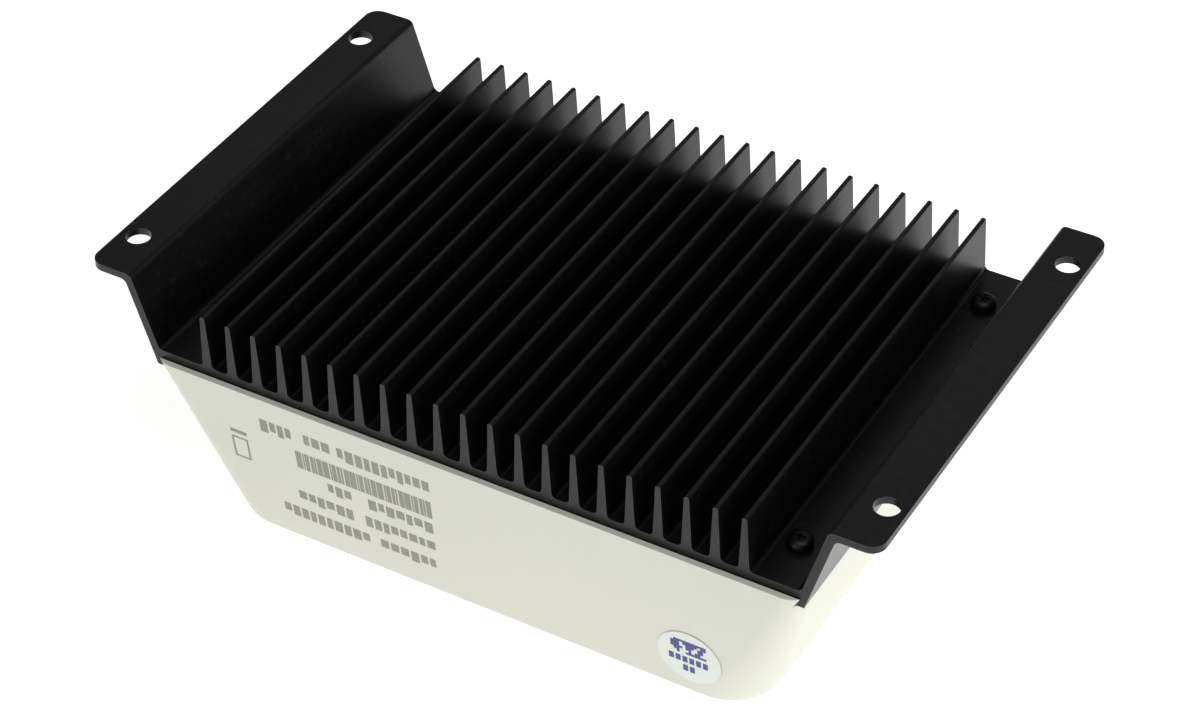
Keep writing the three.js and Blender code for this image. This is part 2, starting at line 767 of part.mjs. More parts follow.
function clampCage() {
  const half = pole.cageDepth / 2;
  const body = centred(0, pole.cageWidth, [-half, half], [cageFront, cageRear]);
  const throat = centred(0, pole.cageWidth - 2 * pole.cageSide, [-half - 1, half + 1], [
    cageFront + pole.cageTop,
    cageRear - pole.cageBottom,
  ]);
  return cut(body, throat, rod(0, 0, pole.shankRadius + gap, [cageFront - 1, cageFront + pole.cageTop + 1]));
}

function contactBar() {
  const flat = centred(0, pole.barWidth, [barBack, cageMouth], [barFront, barRear]);
  const barY = [barBack, barBack + pole.barThickness];
  const leg = centred(0, pole.barWidth, barY, [barFront, blockRear - gap]);
  const tail = centred(0, pole.barTail, barY, [barRear, boardTop + pole.tailLength]);
  return join(flat, leg, tail);
}

const poleNames = blockNames.flatMap((name) => [`${name}_plus`, `${name}_minus`]);
poleNames.forEach((name, i) => {
  const group = new THREE.Group();
  group.position.set(poleX(i), 0, 0);
  controller.add(group);
  piece(`${name}_screw`, terminalScrew(), finishes.platedSteel(), group, [0, poleY, 0]);
  piece(`${name}_cage`, clampCage(), finishes.platedSteel(), group, [0, poleY, 0]);
  piece(`${name}_bar`, contactBar(), finishes.tinnedBrass(), group);
});

// ---------- Sensor socket ----------

// Opens through the left end wall, its width centred on y = 0.
function sensorSocketShape() {
  const s = sensorSocket;
  const [half, roomHalf] = [s.width / 2, s.width / 2 - s.wall];
  const body = block([sensorMouth, -half, sensorFront], [sensorMouth + s.length, half, blockRear]);
  const room = block(
    [sensorMouth - 1, -roomHalf, sensorFront + s.wall],
    [sensorMouth + s.depth, roomHalf, blockRear - s.wall],
  );
  const middle = sensorFront + s.height / 2;
  const pins = [-1, 1].map((side) => {
    const y = (side * s.pinSpacing) / 2;
    return block(
      [sensorMouth + s.pinSetBack, y - s.pin / 2, middle - s.pin / 2],
      [sensorMouth + s.depth + 1, y + s.pin / 2, middle + s.pin / 2],
    );
  });
  return join(cut(body, room), ...pins);
}

piece('sensor_socket', sensorSocketShape(), finishes.greenPlastic(), controller, [0, sensorY, 0]);

// ---------- Main board and what stands on it ----------

const standoffX = boardHalfX - standoff.fromEnd;
const standoffPlaces = [
  [-standoffX, standoff.backY],
  [standoffX, standoff.backY],
  [standoffX, standoff.wireSideY],
  [-standoffX, standoff.wireSideY],
];

function mainBoard() {
  const plate = block([-boardHalfX, boardBackY, boardUnder], [boardHalfX, boardWireY, boardTop]);
  const through = [boardUnder - 1, boardTop + 1];
  const pinHoles = standoffPlaces.map(([x, y]) => rod(x, y, standoff.pinRadius + gap, through));
  const tailSlots = poleNames.map((_, i) =>
    centred(poleX(i), pole.barTail + 2 * gap, [barBack - gap, barBack + pole.barThickness + gap], through),
  );
  const leadWidth = (lead.count - 1) * lead.spacing + lead.width + 2 * gap;
  const leadSlots = Array.from({ length: transistor.count }, (_, i) =>
    centred(transistorX(i), leadWidth, [leadY - lead.thickness - gap, leadY + gap], through),
  );
  return cut(plate, ...pinHoles, ...tailSlots, ...leadSlots);
}

piece('main_board', mainBoard(), finishes.boardGreen());

const standoffShape = turned([
  [0, boardUnder - gap],
  [standoff.pinRadius, boardUnder - gap],
  [standoff.pinRadius, boardTop + gap],
  [standoff.radius, boardTop + gap],
  [standoff.radius, caseDepth - gap],
  [0, caseDepth - gap],
]);
standoffPlaces.forEach(([x, y], i) => {
  piece(`board_standoff_${i + 1}`, standoffShape, finishes.brightNickel(), controller, [x, y, 0]);
});

// ---------- Power transistors clamped under the heat sink ----------

function transistorShape() {
  const t = transistor;
  const body = centred(0, t.width, [bodyBack, bodyFront], [transistorUnder, transistorTop]);
  const tabZ = [transistorTop - t.tabThickness, transistorTop];
  const tab = centred(0, t.width, [transistorBack, bodyBack + 1], tabZ);
  const leadTop = transistorTop - lead.fromBack;
  const leads = Array.from({ length: lead.count }, (_, i) => {
    const x = (i - (lead.count - 1) / 2) * lead.spacing;
    const out = centred(x, lead.width, [bodyFront - 1, leadY], [leadTop - lead.thickness, leadTop]);
    const down = centred(x, lead.width, [leadY - lead.thickness, leadY], [boardUnder - 1, leadTop]);
    return join(out, down);
  });
  return join(body, tab, ...leads);
}

for (let i = 0; i < transistor.count; i += 1) {
  const place = [transistorX(i), 0, 0];
  piece(`transistor_${i + 1}`, transistorShape(), finishes.blackPlastic(), controller, place);
}

const clampHoles = (radius, span) => [-clampScrewX, clampScrewX].map((x) => rod(x, clampY, radius, span));
const halfClamp = clampBar.width / 2;
const clampBarY = [clampY - halfClamp, clampY + halfClamp];
const barPlate = centred(0, clampBar.length, clampBarY, [clampUnder, clampTop]);
const barHoles = clampHoles(clampScrew.shankRadius + gap, [clampUnder - 1, clampTop + 1]);
piece('clamp_bar', cut(barPlate, ...barHoles), finishes.platedSteel());

const padBack = transistorBack - 0.5;
const padPlate = centred(0, pad.width, [padBack, padBack + pad.length], [padTop - pad.thickness, padTop]);
const padHoles = clampHoles(clampScrew.shankRadius + gap, [padTop - 2, padTop + 1]);
piece('insulating_pad', cut(padPlate, ...padHoles), finishes.greySilicone());

const clampScrewLength = caseDepth + clampScrew.depthInSink - clampUnder + gap;
const clampScrewShape = panScrew(clampScrew, clampScrewLength).rotateX(Math.PI);
[-clampScrewX, clampScrewX].forEach((x, i) => {
  const place = [x, clampY, clampUnder - gap];
  piece(`clamp_bar_screw_${i + 1}`, clampScrewShape, finishes.platedSteel(), controller, place);
});

// ---------- Inductor, capacitor and board header ----------

const inductorShape = turned(
  [
    [inductor.inner, blockRear - inductor.height + inductor.edge],
    [inductor.inner + inductor.edge, blockRear - inductor.height],
    [inductor.outer - inductor.edge, blockRear - inductor.height],
    [inductor.outer, blockRear - inductor.height + inductor.edge],
    [inductor.outer, blockRear - inductor.edge],
    [inductor.outer - inductor.edge, blockRear],
    [inductor.inner + inductor.edge, blockRear],
    [inductor.inner, blockRear - inductor.edge],
    [inductor.inner, blockRear - inductor.height + inductor.edge],
  ],
  holeSides,
);
piece('inductor', inductorShape, finishes.ferrite(), controller, [inductor.x, inductor.y, 0]);

const capacitorFront = displayRear + capacitor.boardClearance;
const capacitorShape = turned([
  [0, capacitorFront],
  [capacitor.radius - 0.5, capacitorFront],
  [capacitor.radius, capacitorFront + 0.5],
  [capacitor.radius, blockRear - capacitor.grooveAt - 0.6],
  [capacitor.radius - capacitor.groove, blockRear - capacitor.grooveAt],
  [capacitor.radius, blockRear - capacitor.grooveAt + 0.6],
  [capacitor.radius, blockRear],
  [0, blockRear],
]);
piece('capacitor', capacitorShape, finishes.blackPlastic(), controller, [capacitor.x, capacitor.y, 0]);

const headerHalf = header.depth / 2;
const shroudHalf = headerHalf + header.shroudMargin;
const shroudWidth = header.width + 2 * header.shroudMargin;
const headerY = leadY + header.fromLeads + shroudHalf;
const headerShape = join(
  centred(0, header.width, [-headerHalf, headerHalf], [displayRear + gap, blockRear]),
  centred(0, shroudWidth, [-shroudHalf, shroudHalf], [blockRear - header.shroud, blockRear]),
);
piece('board_header', headerShape, finishes.blackPlastic(), controller, [header.x, headerY, 0]);

// ---------- Inspection sticker ----------

// A thin disc against the plain long wall, turned to the wall's draft.
const stickerTilt = Math.PI + Math.atan(shell.longWallSlope);
const stickerShape = new THREE.CylinderGeometry(sticker.radius, sticker.radius, sticker.thickness, holeSides)
  .translate(0, sticker.thickness / 2 + sticker.standOff, 0)
  .rotateX(stickerTilt);
const stickerPlace = [sticker.x, -outerY(sticker.z), sticker.z];
piece('inspection_sticker', stickerShape, finishes.stickerPaper(), controller, stickerPlace);

export default controller;
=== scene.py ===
# %% [markdown]
# # A wall-mounted charge controller
#
# The real one is two main parts: a black extruded heat sink whose two flanges screw to a wall, and a cream
# moulded case that carries the display, the boards and the screw terminals. It lies here on its front face.
# The CAD model is loaded first as a fixed frame. It says where each piece is, and each piece made here takes
# its place and its size from that frame.

# %% Load the fixed frame
import math
import random

import bmesh
import bpy
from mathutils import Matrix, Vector


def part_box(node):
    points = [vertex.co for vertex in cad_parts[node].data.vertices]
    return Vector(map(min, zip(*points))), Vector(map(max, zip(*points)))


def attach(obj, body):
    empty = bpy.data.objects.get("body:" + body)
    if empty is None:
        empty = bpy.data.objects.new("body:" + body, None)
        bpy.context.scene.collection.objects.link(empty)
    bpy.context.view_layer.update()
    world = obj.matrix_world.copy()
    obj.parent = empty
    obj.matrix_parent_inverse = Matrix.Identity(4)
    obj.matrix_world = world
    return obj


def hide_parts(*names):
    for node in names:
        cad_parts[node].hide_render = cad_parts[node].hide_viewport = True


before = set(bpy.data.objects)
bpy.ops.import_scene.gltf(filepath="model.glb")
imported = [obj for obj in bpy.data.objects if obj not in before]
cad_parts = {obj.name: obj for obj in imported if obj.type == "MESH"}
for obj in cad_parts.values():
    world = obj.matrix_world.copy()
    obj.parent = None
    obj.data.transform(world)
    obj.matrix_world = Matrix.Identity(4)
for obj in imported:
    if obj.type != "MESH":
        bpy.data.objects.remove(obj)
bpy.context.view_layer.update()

MM = 0.001


def in_mm(node):
    """The lowest and highest corner of a CAD node, in millimetres."""
    low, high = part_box(node)
    return low / MM, high / MM


# %% [markdown]
# ## Camera
#
# A long lens from above one corner keeps the fins close to parallel. The camera looks down at the long plain
# side of the case, with the right end wall to its right.

# %% Set up the camera
camera_data = bpy.data.cameras.new("camera")
camera_data.lens = 96.1
camera_data.sensor_width = 36
camera_data.shift_x = -0.0057
camera_data.shift_y = -0.0067
camera = bpy.data.objects.new("camera", camera_data)
camera.location = (0.28399, -0.47946, 0.49222)
camera.rotation_euler = [math.radians(turn) for turn in (50.5813, 0.8243, 29.9197)]
bpy.context.collection.objects.link(camera)
bpy.context.scene.camera = camera
bpy.context.scene.view_settings.view_transform = "Standard"
print("camera is", round(camera.location.length, 3), "m from the middle of the front face")

# %% [markdown]
# ## Floor and light
#
# A white sweep lit evenly keeps the shadows soft. One large lamp stands to the right, so the end wall is the
# brightest face and the long side a step darker. One overhead lights the rim of the case, a weak one behind
# gives the black flanges their sheen, and one in front fills the long side.

# %% Lay the floor and hang the lamps
bpy.ops.mesh.primitive_plane_add(size=6, location=(0, 0, -0.0002))
floor = bpy.context.object
floor.name = "floor"
floor.data.materials.append(bpy.data.materials.new("white_sweep"))
floor.data.materials[0].use_nodes = True
floor_shader = floor.data.materials[0].node_tree.nodes["Principled BSDF"]
floor_shader.inputs["Base Color"].default_value = (0.95, 0.95, 0.95, 1)
floor_shader.inputs["Roughness"].default_value = 0.9
floor_shader.inputs["Emission Color"].default_value = (1, 1, 1, 1)
floor_shader.inputs["Emission Strength"].default_value = 0.68

world = bpy.data.worlds.new("studio")
world.use_nodes = True
world.node_tree.nodes["Background"].inputs["Color"].default_value = (1, 1, 1, 1)
world.node_tree.nodes["Background"].inputs["Strength"].default_value = 0.1
bpy.context.scene.world = world


def hang_lamp(name, place, aim, width, height, watts):
    """A flat lamp that faces the aim."""
    data = bpy.data.lights.new(name, "AREA")
    data.shape = "RECTANGLE"
    data.size, data.size_y, data.energy = width, height, watts
    lamp = bpy.data.objects.new(name, data)
    lamp.location = place
    lamp.rotation_euler = (Vector(aim) - Vector(place)).to_track_quat("-Z", "Y").to_euler()
    bpy.context.collection.objects.link(lamp)


hang_lamp("key", (1.35, 0.0, 0.7), (0, 0, 0.03), 1.0, 0.9, 11)
hang_lamp("overhead", (0.35, -0.35, 1.3), (0, 0, 0.05), 0.9, 0.9, 5)
hang_lamp("far_sky", (-0.36, 1.0, 1.0), (0, 0, 0.05), 1.2, 0.6, 0.6)
hang_lamp("front_fill", (-0.6, -1.3, 0.5), (0, 0, 0.03), 1.0, 0.7, 5.0)
print("lamps:", [light.name for light in bpy.data.lights])

# %% [markdown]
# ## Writing a finish
#
# A finish is a small network of nodes. `Value` wraps one output so that plain arithmetic on it adds the Math
# nodes, and `Finish` adds any other node from its type, its settings and what goes into its sockets.


# %% A value in a finish
class Value:
    """One output of a node. Arithmetic on it adds Math nodes."""

    def __init__(self, finish, socket):
        self.finish = finish
        self.socket = socket

    def math(self, operation, first, second):
        settings = {"operation": operation}
        return self.finish.node("ShaderNodeMath", settings, {0: first, 1: second}).out("Value")

    def __add__(self, other):
        return self.math("ADD", self, other)

    def __radd__(self, other):
        return self.math("ADD", other, self)

    def __sub__(self, other):
        return self.math("SUBTRACT", self, other)

    def __rsub__(self, other):
        return self.math("SUBTRACT", other, self)

    def __mul__(self, other):
        return self.math("MULTIPLY", self, other)

    def __rmul__(self, other):
        return self.math("MULTIPLY", other, self)


class Node:
    """A node that gives its outputs as values."""

    def __init__(self, finish, node):
        self.finish = finish
        self.node = node

    def out(self, name):
        return Value(self.finish, self.node.outputs[name])


class Finish:
    """A material for one finish of the controller."""

    def __init__(self, name, colour, roughness, metallic=0.0, **fixed):
        self.material = bpy.data.materials.new(name)
        self.material.use_nodes = True
        self.tree = self.material.node_tree
        self.shader = self.tree.nodes["Principled BSDF"]
        self.set("Base Color", (*colour, 1))
        self.set("Roughness", roughness)
        self.set("Metallic", metallic)
        for socket, value in fixed.items():
            self.set(socket.replace("_", " "), value)
        self.place = self.node("ShaderNodeTexCoord").out("Object")

    def node(self, kind, settings=None, inputs=None):
        made = self.tree.nodes.new(kind)
        for key, value in (settings or {}).items():
            if key == "stops":
                for stop, (position, shade) in zip(made.color_ramp.elements, value):
                    stop.position, stop.color = position, (shade, shade, shade, 1)
            else:
                setattr(made, key, value)
        for key, value in (inputs or {}).items():
            self.plug(made.inputs[key], value)
        return Node(self, made)

    def plug(self, socket, value):
        if isinstance(value, Value):
            self.tree.links.new(value.socket, socket)
        else:
            socket.default_value = value

    def set(self, socket, value):
        self.plug(self.shader.inputs[socket], value)

    def stretched(self, x, y, z):
        """The place on the piece, stretched along the axes."""
        inputs = {"Vector": self.place, "Scale": (x, y, z)}
        return self.node("ShaderNodeMapping", {}, inputs).out("Vector")

    def noise(self, scale, detail=2.0, vector=None):
        inputs = {"Vector": vector or self.place, "Scale": scale, "Detail": detail}
        return self.node("ShaderNodeTexNoise", {}, inputs).out("Fac")

    def ramp(self, value, low, high):
        """0 below low, 1 above high."""
        settings = {"stops": [(low, 0), (high, 1)]}
        return self.node("ShaderNodeValToRGB", settings, {"Fac": value}).out("Color")

    def mix(self, factor, first, second):
        """A colour between two colours."""
        inputs = {0: factor, 6: first, 7: second}
        node = self.node("ShaderNodeMix", {"data_type": "RGBA"}, inputs)
        return Value(self, node.node.outputs[2])

    def sharp_edge_mask(self, radius):
        """1 on the sharp edges of the piece and 0 on its faces."""
        rounded = self.node("ShaderNodeBevel", {"samples": 4}, {"Radius": radius}).out("Normal")
        true = self.node("ShaderNodeNewGeometry").out("Normal")
        settings = {"operation": "DOT_PRODUCT"}
        alike = self.node("ShaderNodeVectorMath", settings, {0: rounded, 1: true}).out("Value")
        return self.ramp(1 - alike, 0.02, 0.22)

    def bump(self, height, depth, strength=1.0):
        """Raises the surface by height times depth, in metres."""
        inputs = {"Height": height, "Distance": depth, "Strength": strength}
        self.set("Normal", self.node("ShaderNodeBump", {}, inputs).out("Normal"))


print("finishes are written with Value and Finish")

# %% [markdown]
# ## The finishes of the housing
#
# The heat sink is black anodised aluminium. The die leaves fine lines along the extrusion, a little dust
# settles on it, and its sharp edges are painted paler as a highlight. The case is moulded in a warm off-white
# with a fine spark-eroded grain, so its highlight is broad, and its sharp edges get a painted highlight too.


# %% Black anodised aluminium and cream plastic
def black_anodised():
    f = Finish("black_anodised", (0.01, 0.01, 0.01), 0.36, Specular_IOR_Level=0.37)
    die_lines = f.noise(1.0, 3.0, f.stretched(2600, 14, 2600))
    blotches = f.noise(55, 4.0)
    dust = f.ramp(f.noise(420, 5.0), 0.56, 0.78)
    edges = f.sharp_edge_mask(0.00035)
    dark = f.mix(blotches, (0.002, 0.002, 0.002, 1), (0.0045, 0.0045, 0.0045, 1))
    dusty = f.mix(dust * 0.06, dark, (0.12, 0.12, 0.115, 1))
    # A painted highlight: the sharp edges are mixed towards a paler grey.
    f.set("Base Color", f.mix(edges * 0.4, dusty, (0.07, 0.07, 0.07, 1)))
    f.set("Roughness", 0.24 + 0.14 * die_lines + 0.08 * blotches - 0.05 * edges)
    f.bump(die_lines + 0.35 * f.noise(2600), 0.00003)
    return f.material


def cream_plastic():
    f = Finish("cream_plastic", (0.665, 0.67, 0.58), 0.46, Specular_IOR_Level=0.5)
    cloud = f.noise(18, 3.0)
    grain = f.noise(2600, 3.0)
    edges = f.sharp_edge_mask(0.0004)
    shade = f.mix(cloud, (0.64, 0.645, 0.557, 1), (0.69, 0.695, 0.605, 1))
    # A painted highlight: the sharp edges are mixed towards a lighter cream.
    f.set("Base Color", f.mix(edges * 0.45, shade, (0.80, 0.80, 0.72, 1)))
    f.set("Roughness", 0.4 + 0.1 * grain + 0.06 * cloud)
    f.bump(grain, 0.00004, 0.7)
    return f.material


paint = {"black_aluminium": black_anodised(), "cream_plastic": cream_plastic()}
print("housing finishes:", list(paint))

# %% [markdown]
# ## Working at the bench
#
# Each new piece starts as a box or a rod at its own size and place, in millimetres. `Bench` opens it in edit
# mode and picks faces, edges or corners by where they are or which way they face. Everything else is let go
# of first, because an operator acts on all that is selected.


# %% The bench: boxes, rods and picking
def let_go():
    bpy.ops.object.select_all(action="DESELECT")


def hold(piece):
    let_go()
    piece.select_set(True)
    bpy.context.view_layer.objects.active = piece


def settle(name):
    """Names the new piece and moves its place into its mesh."""
    piece = bpy.context.object
    piece.name = piece.data.name = name
    bpy.ops.object.transform_apply(location=True, rotation=True, scale=True)
    return piece


def add_box(name, low, high):
    low, high = Vector(low), Vector(high)
    let_go()
    bpy.ops.mesh.primitive_cube_add(size=1, location=(low + high) / 2 * MM, scale=(high - low) * MM)
    return settle(name)


def add_rod(name, foot, radius, length, axis="Z", sides=32):
    """A rod from the centre of its foot along an axis."""
    step = Vector([float(axis == letter) for letter in "XYZ"])
    turn = {"X": (0, math.pi / 2, 0), "Y": (-math.pi / 2, 0, 0), "Z": (0, 0, 0)}[axis]
    middle = (Vector(foot) + step * length / 2) * MM
    let_go()
    bpy.ops.mesh.primitive_cylinder_add(
        vertices=sides, radius=radius * MM, depth=length * MM, location=middle, rotation=turn
    )
    return settle(name)


class Bench:
    """Edit mode on one piece, with places in millimetres."""

    def __init__(self, piece):
        self.piece = piece

    def __enter__(self):
        hold(self.piece)
        bpy.ops.object.mode_set(mode="EDIT")
        bpy.ops.mesh.select_all(action="DESELECT")
        return self

    def __exit__(self, *failure):
        bpy.ops.object.mode_set(mode="OBJECT")

    def _pick(self, kind, parts, test):
        bpy.ops.mesh.select_mode(type=kind)
        bpy.ops.mesh.select_all(action="DESELECT")
        mesh = bmesh.from_edit_mesh(self.piece.data)
        picked = [part for part in getattr(mesh, parts) if test(part)]
        for part in picked:
            part.select_set(True)
        mesh.select_flush_mode()
        bmesh.update_edit_mesh(self.piece.data)
        return len(picked)

    def faces(self, test):
        """Picks faces by their centre and normal."""
        return self._pick("FACE", "faces", lambda face: test(face.calc_center_median() / MM, face.normal))

    def edges(self, test):
        """Picks edges by their two ends."""
        return self._pick("EDGE", "edges", lambda edge: test(*[corner.co / MM for corner in edge.verts]))

    def corners(self, test):
        """Picks corners by their place."""
        return self._pick("VERT", "verts", lambda corner: test(corner.co / MM))

    def move(self, x=0, y=0, z=0):
        bpy.ops.transform.translate(value=(x * MM, y * MM, z * MM))

    def size(self, x, y, z, about):
        bpy.ops.transform.resize(value=(x, y, z), center_override=Vector(about) * MM)

    def extrude(self, x=0, y=0, z=0):
        bpy.ops.mesh.extrude_region_move(TRANSFORM_OT_translate={"value": (x * MM, y * MM, z * MM)})

    def round_off(self, width, segments=2):
        bpy.ops.mesh.bevel(offset=width * MM, segments=segments, affect="EDGES")

    def slice(self, place, normal):
        bpy.ops.mesh.select_all(action="SELECT")
        bpy.ops.mesh.bisect(plane_co=Vector(place) * MM, plane_no=normal)


def near(a, b, reach=0.02):
    return abs(a - b) < reach


print("the bench is ready")


# %% Cutting, softening and placing on the frame
def join(name, pieces):
    let_go()
    for piece in pieces:
        piece.select_set(True)
    bpy.context.view_layer.objects.active = pieces[0]
    if len(pieces) > 1:
        bpy.ops.object.join()
    pieces[0].name = pieces[0].data.name = name
    return pieces[0]


def carve(piece, tools, operation="DIFFERENCE"):
    """Cuts the tools out of a piece, or joins them on, and puts them away."""
    tool = join("tool", tools)
    modifier = piece.modifiers.new("carve", "BOOLEAN")
    modifier.operation, modifier.solver, modifier.object = operation, "EXACT", tool
    modifier.use_self = True
    hold(piece)
    bpy.ops.object.modifier_apply(modifier=modifier.name)
    bpy.data.objects.remove(tool)


def soften(piece, width, segments=2, angle=40):
    """Rounds the sharp edges that are left and smooths what is nearly flat, with the big faces kept flat."""
    hold(piece)
    modifier = piece.modifiers.new("soften", "BEVEL")
    modifier.width, modifier.segments = width * MM, segments
    modifier.limit_method, modifier.angle_limit = "ANGLE", math.radians(angle)
    bpy.ops.object.modifier_apply(modifier=modifier.name)
    bpy.ops.object.shade_smooth_by_angle(angle=math.radians(angle))
    modifier = piece.modifiers.new("flat_faces", "WEIGHTED_NORMAL")
    modifier.keep_sharp = True
    bpy.ops.object.modifier_apply(modifier=modifier.name)


INKS = ("grey_ink", "violet_ink", "dark_segment")


def fit(piece, finish, body, *nodes):
    """Gives a piece its finish and its body, in place of CAD nodes. The inks aren't slots of the record."""
    piece.data.materials.clear()
    piece.data.materials.append(paint[finish])
    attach(piece, body)
    finish not in INKS
    if nodes:
        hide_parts(*nodes)
    print(f"{piece.name}: {len(piece.data.polygons)} faces")
    return piece


# %% [markdown]
# ## Heat sink
#
# The real one is sawn from one long extrusion, so every face runs straight through. A slab is cut into strips
# where the fins stand, the strips are drawn up and narrowed, and the last strip at each side becomes the
# sloped wall and its flange. The die's fillets and round tips are bevels. Holes are drilled last.

# %% Measure the heat sink
sink_low, sink_high = in_mm("heat_sink")
SINK_HALF = sink_high.y
FLANGE_EDGE = sink_high.x
MOUNTING_PLANE = sink_high.z
SINK_UNDER = sink_low.z
LEAN = math.tan(math.radians(16.7))
FLANGE_THICKNESS = 1.8
FOOT = FLANGE_EDGE - 9.7 - LEAN * (MOUNTING_PLANE - FLANGE_THICKNESS - SINK_UNDER)
BASE_TOP = SINK_UNDER + 4.3
FIN_TIP = MOUNTING_PLANE - 4.7
FIN_PITCH = 6.695
FINS_PER_SIDE = 10
WALL_WIDTH = 2.09


def wall_x(z):
    """Where the outside of the leaning end wall is, at a height."""
    return FOOT + LEAN * (z - SINK_UNDER)


fin_places = [i * FIN_PITCH for i in range(-FINS_PER_SIDE, FINS_PER_SIDE + 1)]
print(len(fin_places), "fins, wall foot at", round(wall_x(BASE_TOP), 2), "mm")

# %% Draw the fins up from the base
FIN_ROOT = 2.5
FIN_TIP_WIDTH = 1.15

heat_sink = add_box("extruded_heat_sink", (-FOOT, -SINK_HALF, SINK_UNDER), (FOOT, SINK_HALF, BASE_TOP))
with Bench(heat_sink) as bench:
    for side in (-1, 1):
        bench.corners(lambda p: p.x * side > 0 and near(p.z, BASE_TOP))
        bench.move(x=side * (wall_x(BASE_TOP) - FOOT))
    wall_inside = wall_x(BASE_TOP) - WALL_WIDTH
    cuts = [x + side * FIN_ROOT / 2 for x in fin_places for side in (-1, 1)] + [-wall_inside, wall_inside]
    for x in sorted(cuts):
        bench.slice((x, 0, 0), (1, 0, 0))
    tops = bench.faces(
        lambda c, n: n.z > 0.9 and near(c.z, BASE_TOP) and any(abs(c.x - x) < 0.5 for x in fin_places)
    )
    bench.extrude(z=FIN_TIP - BASE_TOP)
    for x in fin_places:
        bench.faces(lambda c, n: n.z > 0.9 and near(c.z, FIN_TIP) and near(c.x, x, 0.5))
        bench.size(FIN_TIP_WIDTH / FIN_ROOT, 1, 1, about=(x, 0, FIN_TIP))
print(tops, "strips became fins")

# %% Draw up the end walls and turn the flanges out
FLANGE_UNDER = MOUNTING_PLANE - FLANGE_THICKNESS
with Bench(heat_sink) as bench:
    for side in (-1, 1):
        bench.faces(lambda c, n: n.z > 0.9 and near(c.z, BASE_TOP) and c.x * side > wall_inside)
        bench.extrude(x=side * (wall_x(FLANGE_UNDER) - wall_x(BASE_TOP)), z=FLANGE_UNDER - BASE_TOP)
        bench.extrude(x=side * LEAN * FLANGE_THICKNESS, z=FLANGE_THICKNESS)
        bench.faces(lambda c, n: n.x * side > 0.9 and c.z > FLANGE_UNDER and c.x * side > wall_inside)
        bench.extrude(x=side * 9.0)
        bench.size(0, 1, 1, about=(side * FLANGE_EDGE, 0, 0))
    bends = bench.edges(
        lambda a, b: near(a.x, b.x) and abs(a.y - b.y) > 50
        and (
            near(abs(a.x), wall_x(FLANGE_UNDER), 0.05) and near(a.z, FLANGE_UNDER)
            or near(abs(a.x), wall_x(MOUNTING_PLANE) - WALL_WIDTH, 0.05) and near(a.z, MOUNTING_PLANE)
            or near(abs(a.x), wall_inside, 0.05) and near(a.z, BASE_TOP)
        )
    )
    bench.round_off(1.1, 4)
    roots = bench.edges(
        lambda a, b: near(a.x, b.x) and abs(a.y - b.y) > 50 and near(a.z, BASE_TOP)
        and any(near(abs(a.x - x), FIN_ROOT / 2, 0.05) for x in fin_places)
    )
    bench.round_off(1.1, 4)
    tips = bench.edges(
        lambda a, b: near(a.x, b.x) and abs(a.y - b.y) > 50 and near(a.z, FIN_TIP)
    )
    bench.round_off(0.35, 3)
    corners = bench.edges(
        lambda a, b: near(abs(a.x), FLANGE_EDGE) and near(a.x, b.x) and near(a.y, b.y) and not near(a.z, b.z)
    )
    bench.round_off(3.4, 8)
print(f"rounded {bends} bends, {roots} fin roots, {tips} fin tips and {corners} flange corners")

# %% Drill the heat sink
case_screws = [f"case_screw_{number}" for number in (1, 2, 3, 4)]


def middle_of(node):
    low, high = in_mm(node)
    return (low + high) / 2


drills = []
for x_side, y_side in ((-1, -1), (1, -1), (1, 1), (-1, 1)):
    place = (x_side * (FLANGE_EDGE - 4.5), y_side * (SINK_HALF - 12.5), FLANGE_UNDER - 2)
    drills.append(add_rod("drill", place, 2.9, 6, sides=40))
for node in case_screws:
    place = middle_of(node)
    drills.append(add_rod("drill", (place.x, place.y, SINK_UNDER - 1), 1.8, 7))
carve(heat_sink, drills)
soften(heat_sink, 0.12, 2, 34)
fit(heat_sink, "black_aluminium", "housing", "heat_sink")

# %% [markdown]
# ## Front case
#
# The real case is one moulding, drafted so that it leaves its mould, with corners that are round at the front
# and tighter at the rim. A box gets its upright edges rounded, and then each corner's rim is pulled out and
# made smaller. The room inside is the same shape one wall thickness in, and the openings are cut with tools.

# %% Measure the case
case_low, case_high = in_mm("front_case")
RIM_TOP = case_high.z
CASE_RIM = SINK_UNDER - 0.2
CASE_WALL = 2.2
FRONT_WALL = 3.0
LONG_DRAFT = 0.112
FRONT_CORNER, RIM_CORNER = 12.5, 5.5


def long_wall(z):
    """How far the outside of a long wall is from the middle, at a height."""
    return case_high.y - LONG_DRAFT * (RIM_TOP - z)


def case_corner(z):
    """The radius of the corners seen from above, at a height."""
    return FRONT_CORNER + (RIM_CORNER - FRONT_CORNER) * z / SINK_UNDER


def plan(z, wall=0.0):
    """Half the length, half the width and the corner radius of the case at a height, one wall in."""
    return wall_x(z) - wall, long_wall(z) - wall, case_corner(z) - wall


def draft(bench, z, start, end):
    """Brings the loop at a height from one plan to another, a corner at a time."""
    for x_side, y_side in ((-1, -1), (1, -1), (1, 1), (-1, 1)):
        half_x, half_y, radius = start
        bench.corners(lambda p: near(p.z, z) and p.x * x_side > 0 and p.y * y_side > 0)
        middle = (x_side * (half_x - radius), y_side * (half_y - radius), z)
        bench.size(end[2] / radius, end[2] / radius, 1, about=middle)
        bench.move(x_side * (end[0] - end[2] - half_x + radius), y_side * (end[1] - end[2] - half_y + radius))


print("case at the front and at the rim:", [round(v, 1) for v in plan(0) + plan(RIM_TOP)])


# %% Model a drafted block
def drafted_block(name, low, high, wall=0.0, segments=14):
    """A block with the case's draft and corners, between two heights."""
    half_x, half_y, radius = plan(low, wall)
    block = add_box(name, (-half_x, -half_y, low), (half_x, half_y, high))
    with Bench(block) as bench:
        bench.edges(lambda a, b: near(a.x, b.x) and near(a.y, b.y))
        bench.round_off(radius, segments)
        draft(bench, high, plan(low, wall), plan(high, wall))
    return block


